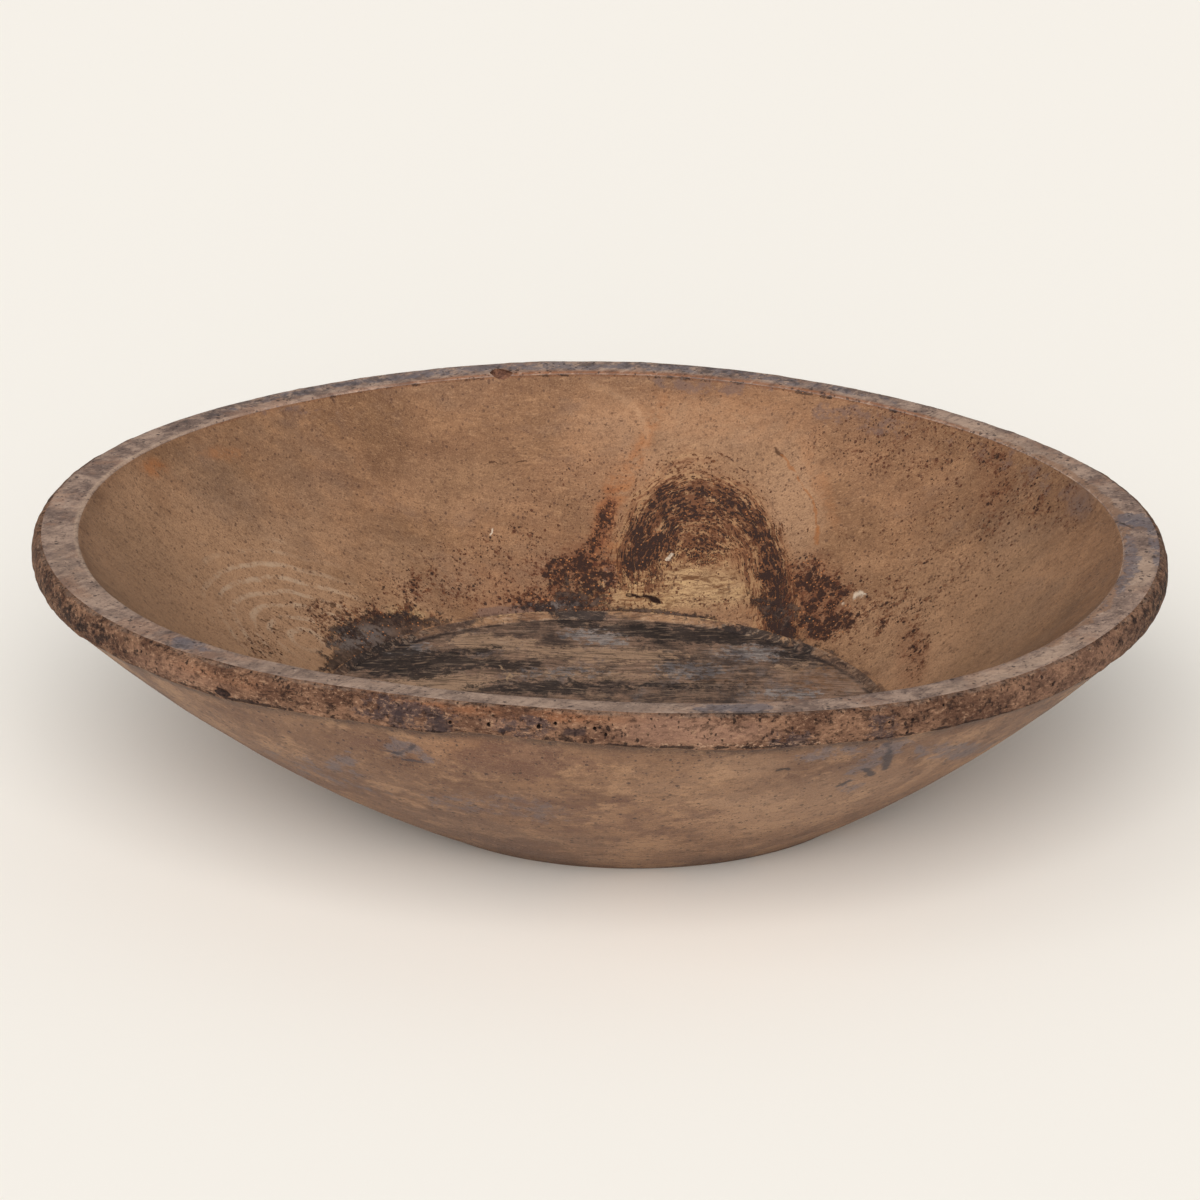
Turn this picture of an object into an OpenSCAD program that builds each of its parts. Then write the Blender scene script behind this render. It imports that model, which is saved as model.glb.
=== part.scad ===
// Turned wooden dough bowl, made from one piece of wood.
// X runs to the right, Y to the back and Z up. The bowl stands on its foot at Z = 0.
// The wood has moved since it was turned, so the rim is out of level and the outer wall leans.

/* [Rim] */
// Width over the rounded band, at its widest
rim_w = 558; // [420:1:640]
// Width of the mouth, across the rim's inner edge
mouth_w = 516; // [400:1:530]
// Height of the band round the rim
band_h = 17; // [12:0.5:22]
// Radius of the band's rounded side
band_r = 14; // [13:0.5:30]
// Height of the band's widest line above the band's lower edge
band_crown_h = 8; // [4:0.5:10]
// How far the band stands proud of the turned wall under it
band_proud = 1.8; // [0.8:0.1:5]
// How far the rim is out of level, falling to the right, in degrees
rim_tilt = 1.2; // [0:0.02:2]

/* [Wall] */
// Height of the bowl at the middle of its rim
bowl_h = 135; // [110:1:200]
// Width of the foot as it was turned, before the wood moved
foot_w = 230; // [140:1:300]
// Radius of the outer wall's curve, from the foot to the band
wall_curve_r = 697; // [300:1:1500]
// How far the outer wall leans to the right, in degrees
wall_tilt = 3.4; // [0:0.1:5]
// How far the leaning wall stands to the right at the band
wall_shift = 21.8; // [10:0.1:28]

/* [Hollow] */
// Thickness of the wood under the floor
floor_t = 38; // [28:1:60]
// Width of the round floor
floor_w = 277; // [160:1:310]
// Height of the shoulder round the floor
step_h = 3.5; // [1:0.1:8]
// Width of the shoulder round the floor
step_w = 3.5; // [1:0.1:12]
// Radius of the inner wall's curve, from the shoulder to the rim
hollow_curve_r = 650; // [300:1:1500]

/* [Damage] */
// Radius of the chip in the rim's inner edge
chip_r = 7.5; // [4:0.1:12]
// How far the chip's middle lies behind the rim's inner edge
chip_inset = 3; // [0:0.1:6]
// Where the chip is, in degrees round from the right
chip_turn = 101.7; // [90:0.1:180]
// Radius of the gouge in the band's side
gouge_r = 1.4; // [0.8:0.1:3]
// Length of the gouge in the band's side
gouge_w = 8; // [7:0.5:20]
// Height of the gouge's middle above the band's lower edge
gouge_lift = 2.4; // [2:0.1:6]
// Where the gouge is, in degrees round from the right
gouge_turn = 233; // [180:0.1:270]

/* [Hidden] */
arc_fn = 720;
turn_fn = 240;
small_fn = 48;
overrun = 5;

rim_r = rim_w / 2;
mouth_r = mouth_w / 2;
foot_r = foot_w / 2;
floor_r = floor_w / 2;

// The band is a slice of a ring with a round side.
band_z = bowl_h - band_h;
crown_z = band_z + band_crown_h;
band_x = rim_r - band_r;
band_foot_r = band_x + sqrt(pow(band_r, 2) - pow(band_crown_h, 2));

// However the wall leans, it stays inside the band by this share of what the band stands proud.
wall_limit_share = 0.25;
wall_limit_r = band_foot_r - band_proud * wall_limit_share;

// How far the leaning wall is carried past its two ends, so that level cuts can trim it.
wall_spare = rim_r * sin(wall_tilt + rim_tilt) + overrun;

// The hollow's wall ends at the top of the shoulder round the floor.
step_z = floor_t + step_h;
step_r = floor_r + step_w;

// Centre of the circle of radius r through a low point p and a higher point q farther out.
function arc_centre(p, q, r) =
    let (d = q - p)
    (p + q) / 2 + [-d.y, d.x] / norm(d) * sqrt(pow(r, 2) - d * d / 4);

wall_centre = arc_centre([foot_r, 0], [band_foot_r - band_proud, band_z], wall_curve_r);
hollow_centre = arc_centre([step_r, step_z], [mouth_r, bowl_h], hollow_curve_r);

// The slice of a big disc to the right of the bowl's axis, between two heights.
module arc_slice(centre, r, low, high) {
    intersection() {
        translate(centre) circle(r = r, $fn = arc_fn);
        translate([0, low]) square([rim_w, high - low]);
    }
}

// Turns a shape about the crossing of the bowl's axis and the band's widest line.
module lean(angle) {
    translate([0, 0, crown_z]) rotate([0, angle, 0]) translate([0, 0, -crown_z]) children();
}

// The round block as it is first turned: the band's rounded side, and wood to spare under it.
module block() {
    lean(rim_tilt) rotate_extrude($fn = turn_fn) {
        translate([0, -wall_spare]) square([band_x, bowl_h + wall_spare]);
        translate([0, -wall_spare]) square([wall_limit_r, crown_z + wall_spare]);
        intersection() {
            translate([band_x, crown_z]) circle(r = band_r, $fn = turn_fn);
            translate([0, crown_z - band_r]) square([rim_r, bowl_h - crown_z + band_r]);
        }
    }
}

// The wood turned away below the band, round the leaning outer wall.
module wall_waste() {
    difference() {
        lean(rim_tilt) translate([-rim_w, -rim_w, -bowl_h]) cube([2 * rim_w, 2 * rim_w, bowl_h + band_z]);
        translate([wall_shift, 0, 0]) lean(-wall_tilt) rotate_extrude($fn = turn_fn)
            arc_slice(wall_centre, wall_curve_r, -wall_spare, band_z + wall_spare);
    }
}

// The wood planed away under the foot, to make it flat.
module foot_waste() {
    translate([-rim_w, -rim_w, -bowl_h]) cube([2 * rim_w, 2 * rim_w, bowl_h]);
}

// The hollow: its curved wall, and the sunk floor with a sloping shoulder round it.
module hollow() {
    lean(rim_tilt) rotate_extrude($fn = turn_fn) {
        arc_slice(hollow_centre, hollow_curve_r, step_z, bowl_h + overrun);
        polygon([[0, floor_t], [floor_r, floor_t], [step_r, step_z], [0, step_z]]);
    }
}

// A chip out of the rim's inner edge.
module chip() {
    lean(rim_tilt) rotate(chip_turn) translate([mouth_r + chip_inset, 0, bowl_h])
        sphere(r = chip_r, $fn = small_fn);
}

// A round-ended gouge along the band's side, just above its lower edge.
module gouge() {
    half_w = gouge_w / 2 - gouge_r;
    side_r = band_x + sqrt(pow(band_r, 2) - pow(band_crown_h - gouge_lift, 2));
    lean(rim_tilt) rotate(gouge_turn) translate([side_r, 0, band_z + gouge_lift]) {
        rotate([90, 0, 0]) cylinder(h = 2 * half_w, r = gouge_r, center = true, $fn = small_fn);
        for (side = [-1, 1]) translate([0, side * half_w, 0]) sphere(r = gouge_r, $fn = small_fn);
    }
}

module bowl() {
    color("#9a7458") difference() {
        block();
        wall_waste();
        foot_waste();
        hollow();
        chip();
        gouge();
    }
}

bowl();
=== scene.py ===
# %% [markdown]
# # An old turned dough bowl
# The bowl on the photograph is one thick piece of wood, turned on a lathe and used for
# many years. Blender is used here for what the plain solid can't show: the worn rim, the
# worm-eaten band, the knot, the burnt and washed-out floor. The bowl's lengths are written
# in millimetres, and turned into metres where a mesh or a material needs them. The studio
# and the camera are written in metres.

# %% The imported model, which fixes place and size
import math
import bmesh
import bpy
import numpy as np
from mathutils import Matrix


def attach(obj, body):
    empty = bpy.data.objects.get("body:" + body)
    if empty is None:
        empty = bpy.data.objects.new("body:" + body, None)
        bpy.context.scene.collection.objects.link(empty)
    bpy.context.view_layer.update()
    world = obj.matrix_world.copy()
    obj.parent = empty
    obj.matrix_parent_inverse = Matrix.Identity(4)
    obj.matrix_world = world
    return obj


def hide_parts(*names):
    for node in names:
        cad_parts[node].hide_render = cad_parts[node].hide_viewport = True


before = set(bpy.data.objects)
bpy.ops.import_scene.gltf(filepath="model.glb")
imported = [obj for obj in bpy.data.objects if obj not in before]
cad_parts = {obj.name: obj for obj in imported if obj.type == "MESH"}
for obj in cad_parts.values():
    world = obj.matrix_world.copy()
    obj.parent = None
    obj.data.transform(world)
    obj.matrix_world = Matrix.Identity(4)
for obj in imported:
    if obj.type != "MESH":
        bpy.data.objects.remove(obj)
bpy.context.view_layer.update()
MM = 0.001


# %% [markdown]
# ## The sizes that the bowl was turned to
# These are the driving sizes of the construction, so that the detailed surface lies on the
# solid. The rim sank to the right and the outer wall leans, as old wood does when it dries.

# %% Sizes of the bowl, in millimetres and degrees
BOWL_H = 135.0
MOUTH_R, FACE_R = 258.0, 275.7  # the inner and the outer edge of the rim's top face
BAND_X, BAND_R = 265.0, 14.0  # where the band's rounded side has its middle, and its radius
BAND_H = 17.0
CROWN_Z = 126.0  # the height of the band's widest line
BAND_PROUD = 1.8  # how far it stands out from the wall
RIM_TILT = math.radians(1.2)
WALL_LEAN, WALL_SHIFT = math.radians(3.4), 21.8
FLOOR_R, FLOOR_Z = 138.5, 38.0
SHOULDER_R, SHOULDER_Z = 142.0, 41.5
HOLLOW_CURVE_R, WALL_CURVE_R = 650.0, 697.0
FOOT_R, FOOT_X = 115.0, 16.4
KNOT_X, KNOT_Z = 54.0, 52.6  # the knot's middle
KNOT_W, KNOT_H = 38.0, 37.0  # half its width and half its height


def arc_centre(low, high, radius):
    """Centre of the circle through a low and a higher point: half-way along the chord, then
    at right angles to it."""
    low, high = np.array(low), np.array(high)
    chord = high - low
    length = np.hypot(*chord)
    across = np.array([-chord[1], chord[0]]) / length
    return (low + high) / 2 + across * math.sqrt(radius ** 2 - length ** 2 / 4)


BAND_FOOT_R = BAND_X + math.sqrt(BAND_R ** 2 - (CROWN_Z - BOWL_H + BAND_H) ** 2)
hollow_centre = arc_centre((SHOULDER_R, SHOULDER_Z), (MOUTH_R, BOWL_H), HOLLOW_CURVE_R)
wall_centre = arc_centre((FOOT_R, 0.0), (BAND_FOOT_R - BAND_PROUD, BOWL_H - BAND_H), WALL_CURVE_R)
print("hollow curve about", hollow_centre.round(1), "outer wall curve about", wall_centre.round(1))


# %% [markdown]
# ## Seeded lumps and bumps
# Wood is never quite even. A lattice of random numbers, blended smoothly between its
# points, gives soft lumps of any size, and the same ones on every run.

# %% Soft noise worked out for whole arrays of points
LATTICE = 32


def smooth(x):
    """Smoothstep: three times x squared less twice x cubed, for x held between 0 and 1."""
    x = np.clip(x, 0.0, 1.0)
    return x * x * (3.0 - 2.0 * x)


def lumps(points, size, seed):
    """Value noise from -1 to 1: eight lattice values round each point, blended by smoothstep
    along each axis."""
    table = np.random.default_rng(seed).random((LATTICE, LATTICE, LATTICE)) * 2.0 - 1.0
    scaled = points / np.asarray(size, float)
    cell = np.floor(scaled).astype(int)
    blend = smooth(scaled - cell)
    total = np.zeros(points.shape[:-1])
    for corner in np.ndindex(2, 2, 2):
        weight = np.ones(points.shape[:-1])
        for axis in range(3):
            share = blend[..., axis]
            weight = weight * (share if corner[axis] else 1.0 - share)
        index = (cell + np.array(corner)) % LATTICE
        total += weight * table[index[..., 0], index[..., 1], index[..., 2]]
    return total


def rough(points, size, seed, octaves=3):
    """Lumps of several sizes added up, each half as big and half as strong as the one before."""
    total = 0.0
    for octave in range(octaves):
        half = 0.5 ** octave
        total = total + half * lumps(points, np.asarray(size, float) * half, seed + octave)
    return total / (2.0 - 2.0 ** (1 - octaves))


# %% [markdown]
# ## The shape as one surface of two parameters
# One parameter goes round the bowl. The other runs from the middle of the floor, up the
# hollow, over the lip and the rim's top face, round the band and down the outer wall to
# the middle of the foot. Because it is one closed surface, no seam can open anywhere.

# %% The columns round the bowl and the rim's slow waves
COLUMNS = 704
turn = np.linspace(0.0, 2.0 * np.pi, COLUMNS, endpoint=False)
turn_deg = np.degrees(turn)


def off_angle(degrees, middle):
    """How far directions lie from one of them, from -180 to 180 degrees."""
    return (degrees - middle + 180.0) % 360.0 - 180.0


def wave(table):
    """Sum of slow waves: for each count, one part times the cosine and one times the sine of
    count times the angle."""
    return sum(c * np.cos(count * turn) + s * np.sin(count * turn) for count, c, s in table)


def bump_at(angle, width):
    """A soft bump round one direction: e to the minus square of the angle off it, over its width."""
    return np.exp(-(off_angle(turn_deg, angle) / width) ** 2)


# The rim isn't a true circle any more: how far its edges stand out and up, in millimetres.
rim_out = wave([(2, -0.55, -0.4), (3, 0.24, 0.0), (4, -0.29, 0.28)])
rim_up = wave([(2, -1.2, 1.24), (3, 0.83, 0.42), (4, 1.08, -0.62)])
lip_out = wave([(2, -0.69, -0.08), (3, 0.3, 0.18), (4, -0.95, -0.04)])
# The top face falls a little towards the lip at the front and the back.
edge_up = 1.2 * np.abs(np.sin(turn)) ** 8
# The band was worn and broken off along its lower edge, so its height changes all round.
ring_points = np.stack([np.cos(turn), np.sin(turn), 0 * turn], -1) * 279.0
band_height = (14.4 + 1.5 * bump_at(281, 6.5) + 1.0 * bump_at(300, 6) + 1.0 * bump_at(231, 6)
               - 1.8 * bump_at(262, 6) + 1.1 * rough(ring_points, 26.0, 11)
               + 0.5 * rough(ring_points, 8.0, 12))
ledge = 1.5 + 0.5 * rough(ring_points, 30.0, 13) + 0.5 * bump_at(281, 10)
print("band is %.1f to %.1f mm high" % (band_height.min(), band_height.max()))

# %% A store for the rows of the surface
FLOOR, HOLLOW, FACE, BAND, WALL, FOOT, HOLE_SHADE, CHIPPED = range(8)
RING_SHIFT = 4.0  # the floor's ring lies this far to the right of the rim's middle
rows, parts, along = [], [], []


def to_world(radius, height, shift_x=0.0):
    """Rim frame to world: the ring point is tilted by the rim's tilt about the middle of the
    band's widest line."""
    x, y = radius * np.cos(turn) + shift_x, radius * np.sin(turn)
    z = height - CROWN_Z
    return np.stack([x * math.cos(RIM_TILT) + z * math.sin(RIM_TILT), y + 0 * z,
                     -x * math.sin(RIM_TILT) + z * math.cos(RIM_TILT) + CROWN_Z], -1)


def add_row(points, part, distance):
    """Keeps one ring of the surface, with the part it belongs to and its distance along that part."""
    rows.append(points)
    parts.append(part)
    along.append(distance + 0 * turn)


# %% The floor, its shoulder and the hollow
for share in np.linspace(0.05, 1.0, 20):
    add_row(to_world(FLOOR_R * share, FLOOR_Z + 0 * turn, RING_SHIFT), FLOOR, FLOOR_R * share)
for share in (0.12, 0.4, 0.7, 0.93):
    radius = FLOOR_R + (SHOULDER_R - FLOOR_R) * smooth(share)
    height = FLOOR_Z + (SHOULDER_Z - FLOOR_Z) * share + 0 * turn
    add_row(to_world(radius, height, RING_SHIFT), FLOOR, FLOOR_R + (SHOULDER_R - FLOOR_R) * share)
arc_low = math.asin((SHOULDER_R - hollow_centre[0]) / HOLLOW_CURVE_R)
arc_high = math.asin((MOUTH_R - hollow_centre[0]) / HOLLOW_CURVE_R)
HOLLOW_LENGTH = HOLLOW_CURVE_R * (arc_high - arc_low)
for share in np.concatenate([np.linspace(0.004, 0.95, 41), [0.98]]):
    angle = arc_low + (arc_high - arc_low) * share
    radius = hollow_centre[0] + HOLLOW_CURVE_R * math.sin(angle)
    height = hollow_centre[1] - HOLLOW_CURVE_R * math.cos(angle)
    settle = smooth(share * 1.1)
    shift = RING_SHIFT * (1.0 - smooth(share / 0.5))
    add_row(to_world(radius + lip_out * settle, height + rim_up * settle, shift),
            HOLLOW, HOLLOW_LENGTH * share)
print("the hollow's wall is %.1f mm long, rows so far: %d" % (HOLLOW_LENGTH, len(rows)))

# %% The rounded lip, the rim's top face and the band
for drop, inset in ((1.6, -1.75), (0.9, -0.8)):
    add_row(to_world(MOUTH_R + inset + lip_out, BOWL_H - drop + rim_up), HOLLOW, HOLLOW_LENGTH - drop)
for drop, inset in ((0.35, 0.0), (0.05, 0.9)):
    add_row(to_world(MOUTH_R + inset + lip_out, BOWL_H - drop + rim_up), FACE, inset)
for share in (0.12, 0.25, 0.4, 0.55, 0.7, 0.82, 0.92):
    out = lip_out * (1 - share) + rim_out * share
    add_row(to_world(MOUTH_R + (FACE_R - MOUTH_R) * share + out, BOWL_H + rim_up + edge_up * share),
            FACE, (FACE_R - MOUTH_R) * share)
face_angle = math.asin((BOWL_H - CROWN_Z) / BAND_R)
low_angle = np.arcsin(np.clip((CROWN_Z - BOWL_H + band_height) / BAND_R, -1.0, 0.9))
for share in (0.0, 0.03, 0.08, 0.15, 0.23, 0.31, 0.39, 0.47, 0.55, 0.63, 0.71, 0.78, 0.85, 0.91, 0.96, 1.0):
    angle = face_angle - (face_angle + low_angle) * share
    worn_r = BAND_R - 0.45 * math.exp(-(share / 0.05) ** 2)
    add_row(to_world(BAND_X + worn_r * np.cos(angle) + rim_out,
                     CROWN_Z + worn_r * np.sin(angle) + rim_up + edge_up * (1 - 0.5 * share)),
            BAND, BAND_R * (face_angle - angle))
band_low = rows[-1]
print("rows down to the band's lower edge:", len(rows))


# %% The leaning outer wall under the band
UNDERSIDE = 22.0  # distances on the band's underside start from this one
FIRST_GUESS, ROUNDS = 200.0, 40  # where the search for the wall starts, and how often it is corrected
RECOVERY = 42.0  # the wall is back on its own curve this far under the band


def wall_radius(azimuth, height):
    """Distance from the axis to the leaning wall: the guess is corrected by how far it lies
    off the leaned curve."""
    radius = np.full_like(azimuth, FIRST_GUESS)
    for _ in range(ROUNDS):
        x = radius * np.cos(azimuth) - WALL_SHIFT
        z = height - CROWN_Z
        leaned_x = x * math.cos(WALL_LEAN) + z * math.sin(WALL_LEAN)
        leaned_z = -x * math.sin(WALL_LEAN) + z * math.cos(WALL_LEAN) + CROWN_Z
        target = wall_centre[0] + np.sqrt(WALL_CURVE_R ** 2 - (leaned_z - wall_centre[1]) ** 2)
        radius = radius + target - np.hypot(leaned_x, radius * np.sin(azimuth))
    return radius


def add_wall_row(radius, height, part, distance):
    """Keeps one ring that is given by its distance from the axis and its height."""
    add_row(np.stack([radius * np.cos(azimuth), radius * np.sin(azimuth), height], -1), part, distance)


azimuth = np.arctan2(band_low[:, 1], band_low[:, 0])
low_r, low_z = np.hypot(band_low[:, 0], band_low[:, 1]), band_low[:, 2]
pull = wall_radius(azimuth, low_z) - (low_r - ledge)
for share, drop in ((0.35, 0.25), (0.8, 0.1), (1.0, -0.5)):
    add_wall_row(low_r - ledge * share, low_z + drop, BAND, UNDERSIDE + share)
for share in np.concatenate([np.linspace(0.012, 0.985, 26), [1.0]]):
    height = low_z * (1.0 - share) + 0.9 * share
    radius = wall_radius(azimuth, height) - pull * (1.0 - smooth((low_z - height) / RECOVERY))
    add_wall_row(radius, height, WALL, low_z - height)
foot_edge = rows[-1]
foot_middle = np.array([FOOT_X, 0.0, 0.0])
for shrink, height in ((0.994, 0.25), (0.985, 0.0), (0.93, 0.0), (0.75, 0.25), (0.5, 0.35), (0.22, 0.4)):
    ring = foot_middle + (foot_edge - foot_middle) * [shrink, shrink, 0.0] + [0.0, 0.0, height]
    add_row(ring, FOOT, shrink)
grid, part, run = np.array(rows), np.array(parts), np.array(along)
print("surface of", grid.shape[0], "rings by", COLUMNS, "points")


# %% [markdown]
# ## Wear, chatter and worm damage in the surface itself
# The grid is pushed along its own outward direction. The band is lumpy, because worms and
# damp softened it. The hollow only carries the soft waves that scraping left.

# %% Push the surface in and out
down_rows = np.gradient(grid, axis=0)
round_columns = (np.roll(grid, -1, axis=1) - np.roll(grid, 1, axis=1)) / 2.0
outward = np.cross(round_columns, down_rows)
outward = -outward / np.maximum(np.linalg.norm(outward, axis=-1, keepdims=True), 1e-9)
if (outward[part == BAND] * np.array([1, 1, 0]) * grid[part == BAND]).sum() < 0:
    outward = -outward
inner = (part == FLOOR) | (part == HOLLOW)
BAND_WORN = 0.15  # the band's side lies this far inside its turned shape
relief = np.zeros(grid.shape[:2])
relief[part == BAND] = -BAND_WORN
# Where, how deep in millimetres, how big the lumps are, and their seed.
for where, depth, size, seed in ((inner, 0.45, 60.0, 21), (inner, 0.12, (30.0, 9.0, 9.0), 22),
                                 (part == FACE, 0.35, 18.0, 23), (part == BAND, 0.6, (16.0, 16.0, 7.0), 24),
                                 (part == BAND, 0.35, (5.5, 5.5, 3.5), 27), (part == WALL, 0.5, 70.0, 25),
                                 (part == WALL, 0.2, 16.0, 26)):
    relief[where] += depth * rough(grid[where], size, seed)
relief[-10:] *= np.linspace(1.0, 0.0, 10)[:, None]
surface = grid + outward * relief[..., None]
surface[..., 2] = np.maximum(surface[..., 2], 0.0)
print("relief from %.2f to %.2f mm" % (relief.min(), relief.max()))


# %% [markdown]
# ## Where the stains are
# Eleven soft maps are painted on the points: burnt black, reddish brown, orange, blue-grey,
# pale, tan, shade, dark specks, growth rings, the knot and the worn edge of the rim. Besides
# stains, the burnt black map carries thin painted shadow lines under the lip and under the
# band, the reddish brown map one under the lip, the pale map painted light on the hollow's
# walls and a painted highlight along the lip, and the shade map painted shade on the hollow's
# walls, under the band and low on the outer wall, as well as two stains under the lip. A
# stain is an ellipse with a ragged outline. Its place is a direction round the bowl in
# degrees and a distance along the surface in millimetres, or on the floor a distance to the
# right and to the back. On a mesh as fine as this one, painting points is simpler than a
# picture on a flat layout, and no seam can cross a stain.

# %% The brush for the stains
stain_names = ("char_and_shadow", "red", "orange", "blue", "pale", "tan", "shade", "specks", "rings", "knot", "edge")
stain_maps = {name: np.zeros(grid.shape[:2]) for name in stain_names}
radius_here = np.hypot(grid[..., 0], grid[..., 1])
azimuth_deg = np.degrees(np.arctan2(grid[..., 1], grid[..., 0])) % 360.0
ragged = rough(grid, 14.0, 31, 4)
ragged_fine = rough(grid, 5.0, 35, 3)


def lay_on(name, mask):
    """Joins a mask to a map: what the two leave bare is multiplied."""
    stain_maps[name] = 1.0 - (1.0 - stain_maps[name]) * (1.0 - mask)


def stain(where, name, place, along_by, long, wide, lean, strength, torn=0.35):
    """An ellipse's mask: 1 well inside and 0 outside, its distance upset by noise."""
    if where == FLOOR:
        across, up = grid[..., 0] - place, grid[..., 1] - along_by
    else:
        across = np.radians(off_angle(azimuth_deg, place)) * radius_here
        up = run - along_by
    c, s = math.cos(math.radians(lean)), math.sin(math.radians(lean))
    distance = np.hypot((across * c + up * s) / long, (up * c - across * s) / wide)
    distance += torn * ragged + 0.5 * torn * ragged_fine
    lay_on(name, smooth((1.25 - distance) / 0.75) * strength * (part == where)[:, None])


# %% Stains on the wall of the hollow
# Each stain: map, direction, distance up from the shoulder, half length, half width, lean in
# degrees, strength, and how torn it is where that isn't the usual.
hollow_stains = [
    # The fan of specks left of the knot, with the orange arm that rises from it.
    ("specks", 93, 22, 22, 24, 0, 1.0), ("specks", 100, 8, 24, 9, 0, 0.8), ("red", 93, 24, 24, 30, 0, 0.8),
    ("char_and_shadow", 94, 12, 14, 10, 0, 0.6), ("specks", 89.5, 53, 22, 6, -80, 0.75),
    ("red", 89.5, 56, 24, 6, -80, 0.9), ("orange", 89, 62, 34, 7, -78, 0.85),
    ("orange", 85, 96, 40, 5, -72, 0.8), ("orange", 87.5, 34, 7, 14, 0, 1.0),
    ("blue", 88, 22, 4, 9, 0, 0.9),
    # The blotch right of the knot.
    ("specks", 49, 31, 34, 19, 41, 0.85), ("red", 50, 28, 36, 22, 41, 0.9),
    ("char_and_shadow", 53, 13, 22, 10, 10, 0.55), ("specks", 43, 14, 28, 12, 0, 0.5),
    # Pale wood round the knot, with a painted highlight in the broad pale patches high on the back wall, and
    # the tan wood at its foot.
    ("pale", 73, 98, 54, 38, -3, 0.5), ("pale", 60, 78, 42, 17, 63, 0.7),
    ("pale", 80, 122, 60, 18, -4, 0.45), ("pale", 112, 84, 40, 22, 0, 0.25),
    ("orange", 76, 128, 60, 18, 0, 0.22), ("orange", 58, 96, 30, 5, 47, 0.35),
    ("tan", 77, 17, 44, 15, -7, 0.95), ("tan", 72, 34, 26, 16, 0, 0.7), ("specks", 82, 21, 22, 9, 0, 0.5),
    ("specks", 68, 10, 22, 7, 0, 0.48), ("knot", 72, 44, 14, 9, 0, 0.35), ("red", 71, 50, 30, 34, 0, 0.5),
    # The speckled field left of the fan.
    ("specks", 112, 30, 50, 32, -3, 0.33), ("red", 108, 18, 48, 20, 0, 0.35),
    ("red", 109, 7, 32, 6, 0, 0.4), ("specks", 129, 24, 34, 20, 6, 0.36),
    ("specks", 150, 26, 50, 22, 6, 0.3),
    # The worm-pricked patch at the upper right, and the red speckle under it.
    ("specks", 48, 133, 66, 24, -11, 0.36), ("specks", 33, 124, 36, 9, 44, 0.34),
    ("red", 34, 130, 40, 14, 44, 0.35), ("specks", 22, 134, 60, 18, 0, 0.34),
    ("specks", 30, 80, 70, 60, 0, 0.3), ("specks", 80, 68, 90, 40, 0, 0.24),
    ("specks", 15, 26, 42, 9, 18, 0.55), ("red", 15, 24, 42, 11, 18, 0.65),
    ("specks", 32, 32, 44, 30, 0, 0.33),
    # Stains under the lip.
    ("blue", 77, 145, 34, 7, -4, 0.62), ("blue", 57, 139, 34, 10, 0, 0.5),
    ("shade", 76, 144, 44, 9, -4, 0.6), ("shade", 56, 138, 44, 14, 0, 0.6),
    ("blue", 30, 141, 60, 9, 0, 0.35), ("blue", 16, 142, 17, 8, 15, 0.4),
    ("red", 16, 142, 20, 10, 15, 0.5), ("orange", 155, 139, 12, 6, 5, 0.95),
    ("orange", 142, 131, 20, 4, 14, 0.6), ("blue", 130, 145, 30, 4, 11, 0.45),
    # A thin dark line just under the lip, round the back and the left: painted shadow under the lip's edge.
    ("red", 90, 149, 300, 1.8, 0, 0.9, 0.2), ("char_and_shadow", 84, 148.3, 230, 1.2, 0, 0.28, 0.4),
    ("shade", 180, 149.5, 280, 1.4, 0, 0.5, 0.2),
    # Along the shoulder.
    ("blue", 106, 3, 32, 4, 0, 1.0, 0.2), ("char_and_shadow", 100, 2.5, 26, 3, 0, 0.7),
    ("char_and_shadow", 74, 1.5, 34, 2, 0, 0.8, 0.2), ("char_and_shadow", 40, 1, 30, 1.6, 0, 0.5, 0.2),
    # The burnt corner, low on the left.
    ("char_and_shadow", 142, 4, 48, 14, 6, 0.85), ("char_and_shadow", 152, 2, 18, 7, 0, 1.0, 0.25),
    ("char_and_shadow", 136, 8, 10, 7, 0, 1.0), ("char_and_shadow", 158, 2, 26, 8, 0, 0.7), ("tan", 131, 12, 12, 6, 20, 0.7),
    ("specks", 141, 14, 42, 12, 8, 0.5), ("orange", 132, 6, 18, 6, 0, 0.6),
    ("blue", 148, 9, 26, 7, 8, 0.7),
    # The growth rings that the hollow cuts through on the left, and broad painted light over the left wall.
    ("rings", 157, 46, 62, 36, 8, 1.0), ("pale", 185, 60, 190, 110, 0, 0.75),
    ("pale", 160, 38, 64, 30, 6, 0.5), ("specks", 172, 36, 26, 16, 0, 0.42),
    ("specks", 148, 26, 26, 12, 0, 0.34),
    # Broad painted shade high on the walls and over the back wall, and painted light on the right wall.
    ("shade", 176, 146, 120, 8, 0, 0.3), ("shade", 110, 142, 80, 7, 0, 0.55),
    ("shade", 36, 120, 80, 34, 0, 0.25), ("shade", 120, 105, 60, 14, 0, 0.4),
    ("shade", 95, 110, 200, 60, 0, 0.3), ("pale", 8, 64, 110, 60, 0, 0.45),
    ("pale", 20, 20, 60, 30, 0, 0.3),
]
for row in hollow_stains:
    stain(HOLLOW, *row)
print(len(hollow_stains), "stains in the hollow")

# %% The knot's density: an arch of rings on the back wall, open at its foot
knot_across, knot_up = (grid[..., 0] - KNOT_X) / KNOT_W, (grid[..., 2] - KNOT_Z) / KNOT_H
knot_gap = np.hypot(knot_across, knot_up) + 0.10 * rough(grid, 12.0, 41, 3)
knot_way = np.degrees(np.arctan2(knot_up, knot_across))
on_back = (part == HOLLOW)[:, None] * (grid[..., 1] > 0.0)
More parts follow.
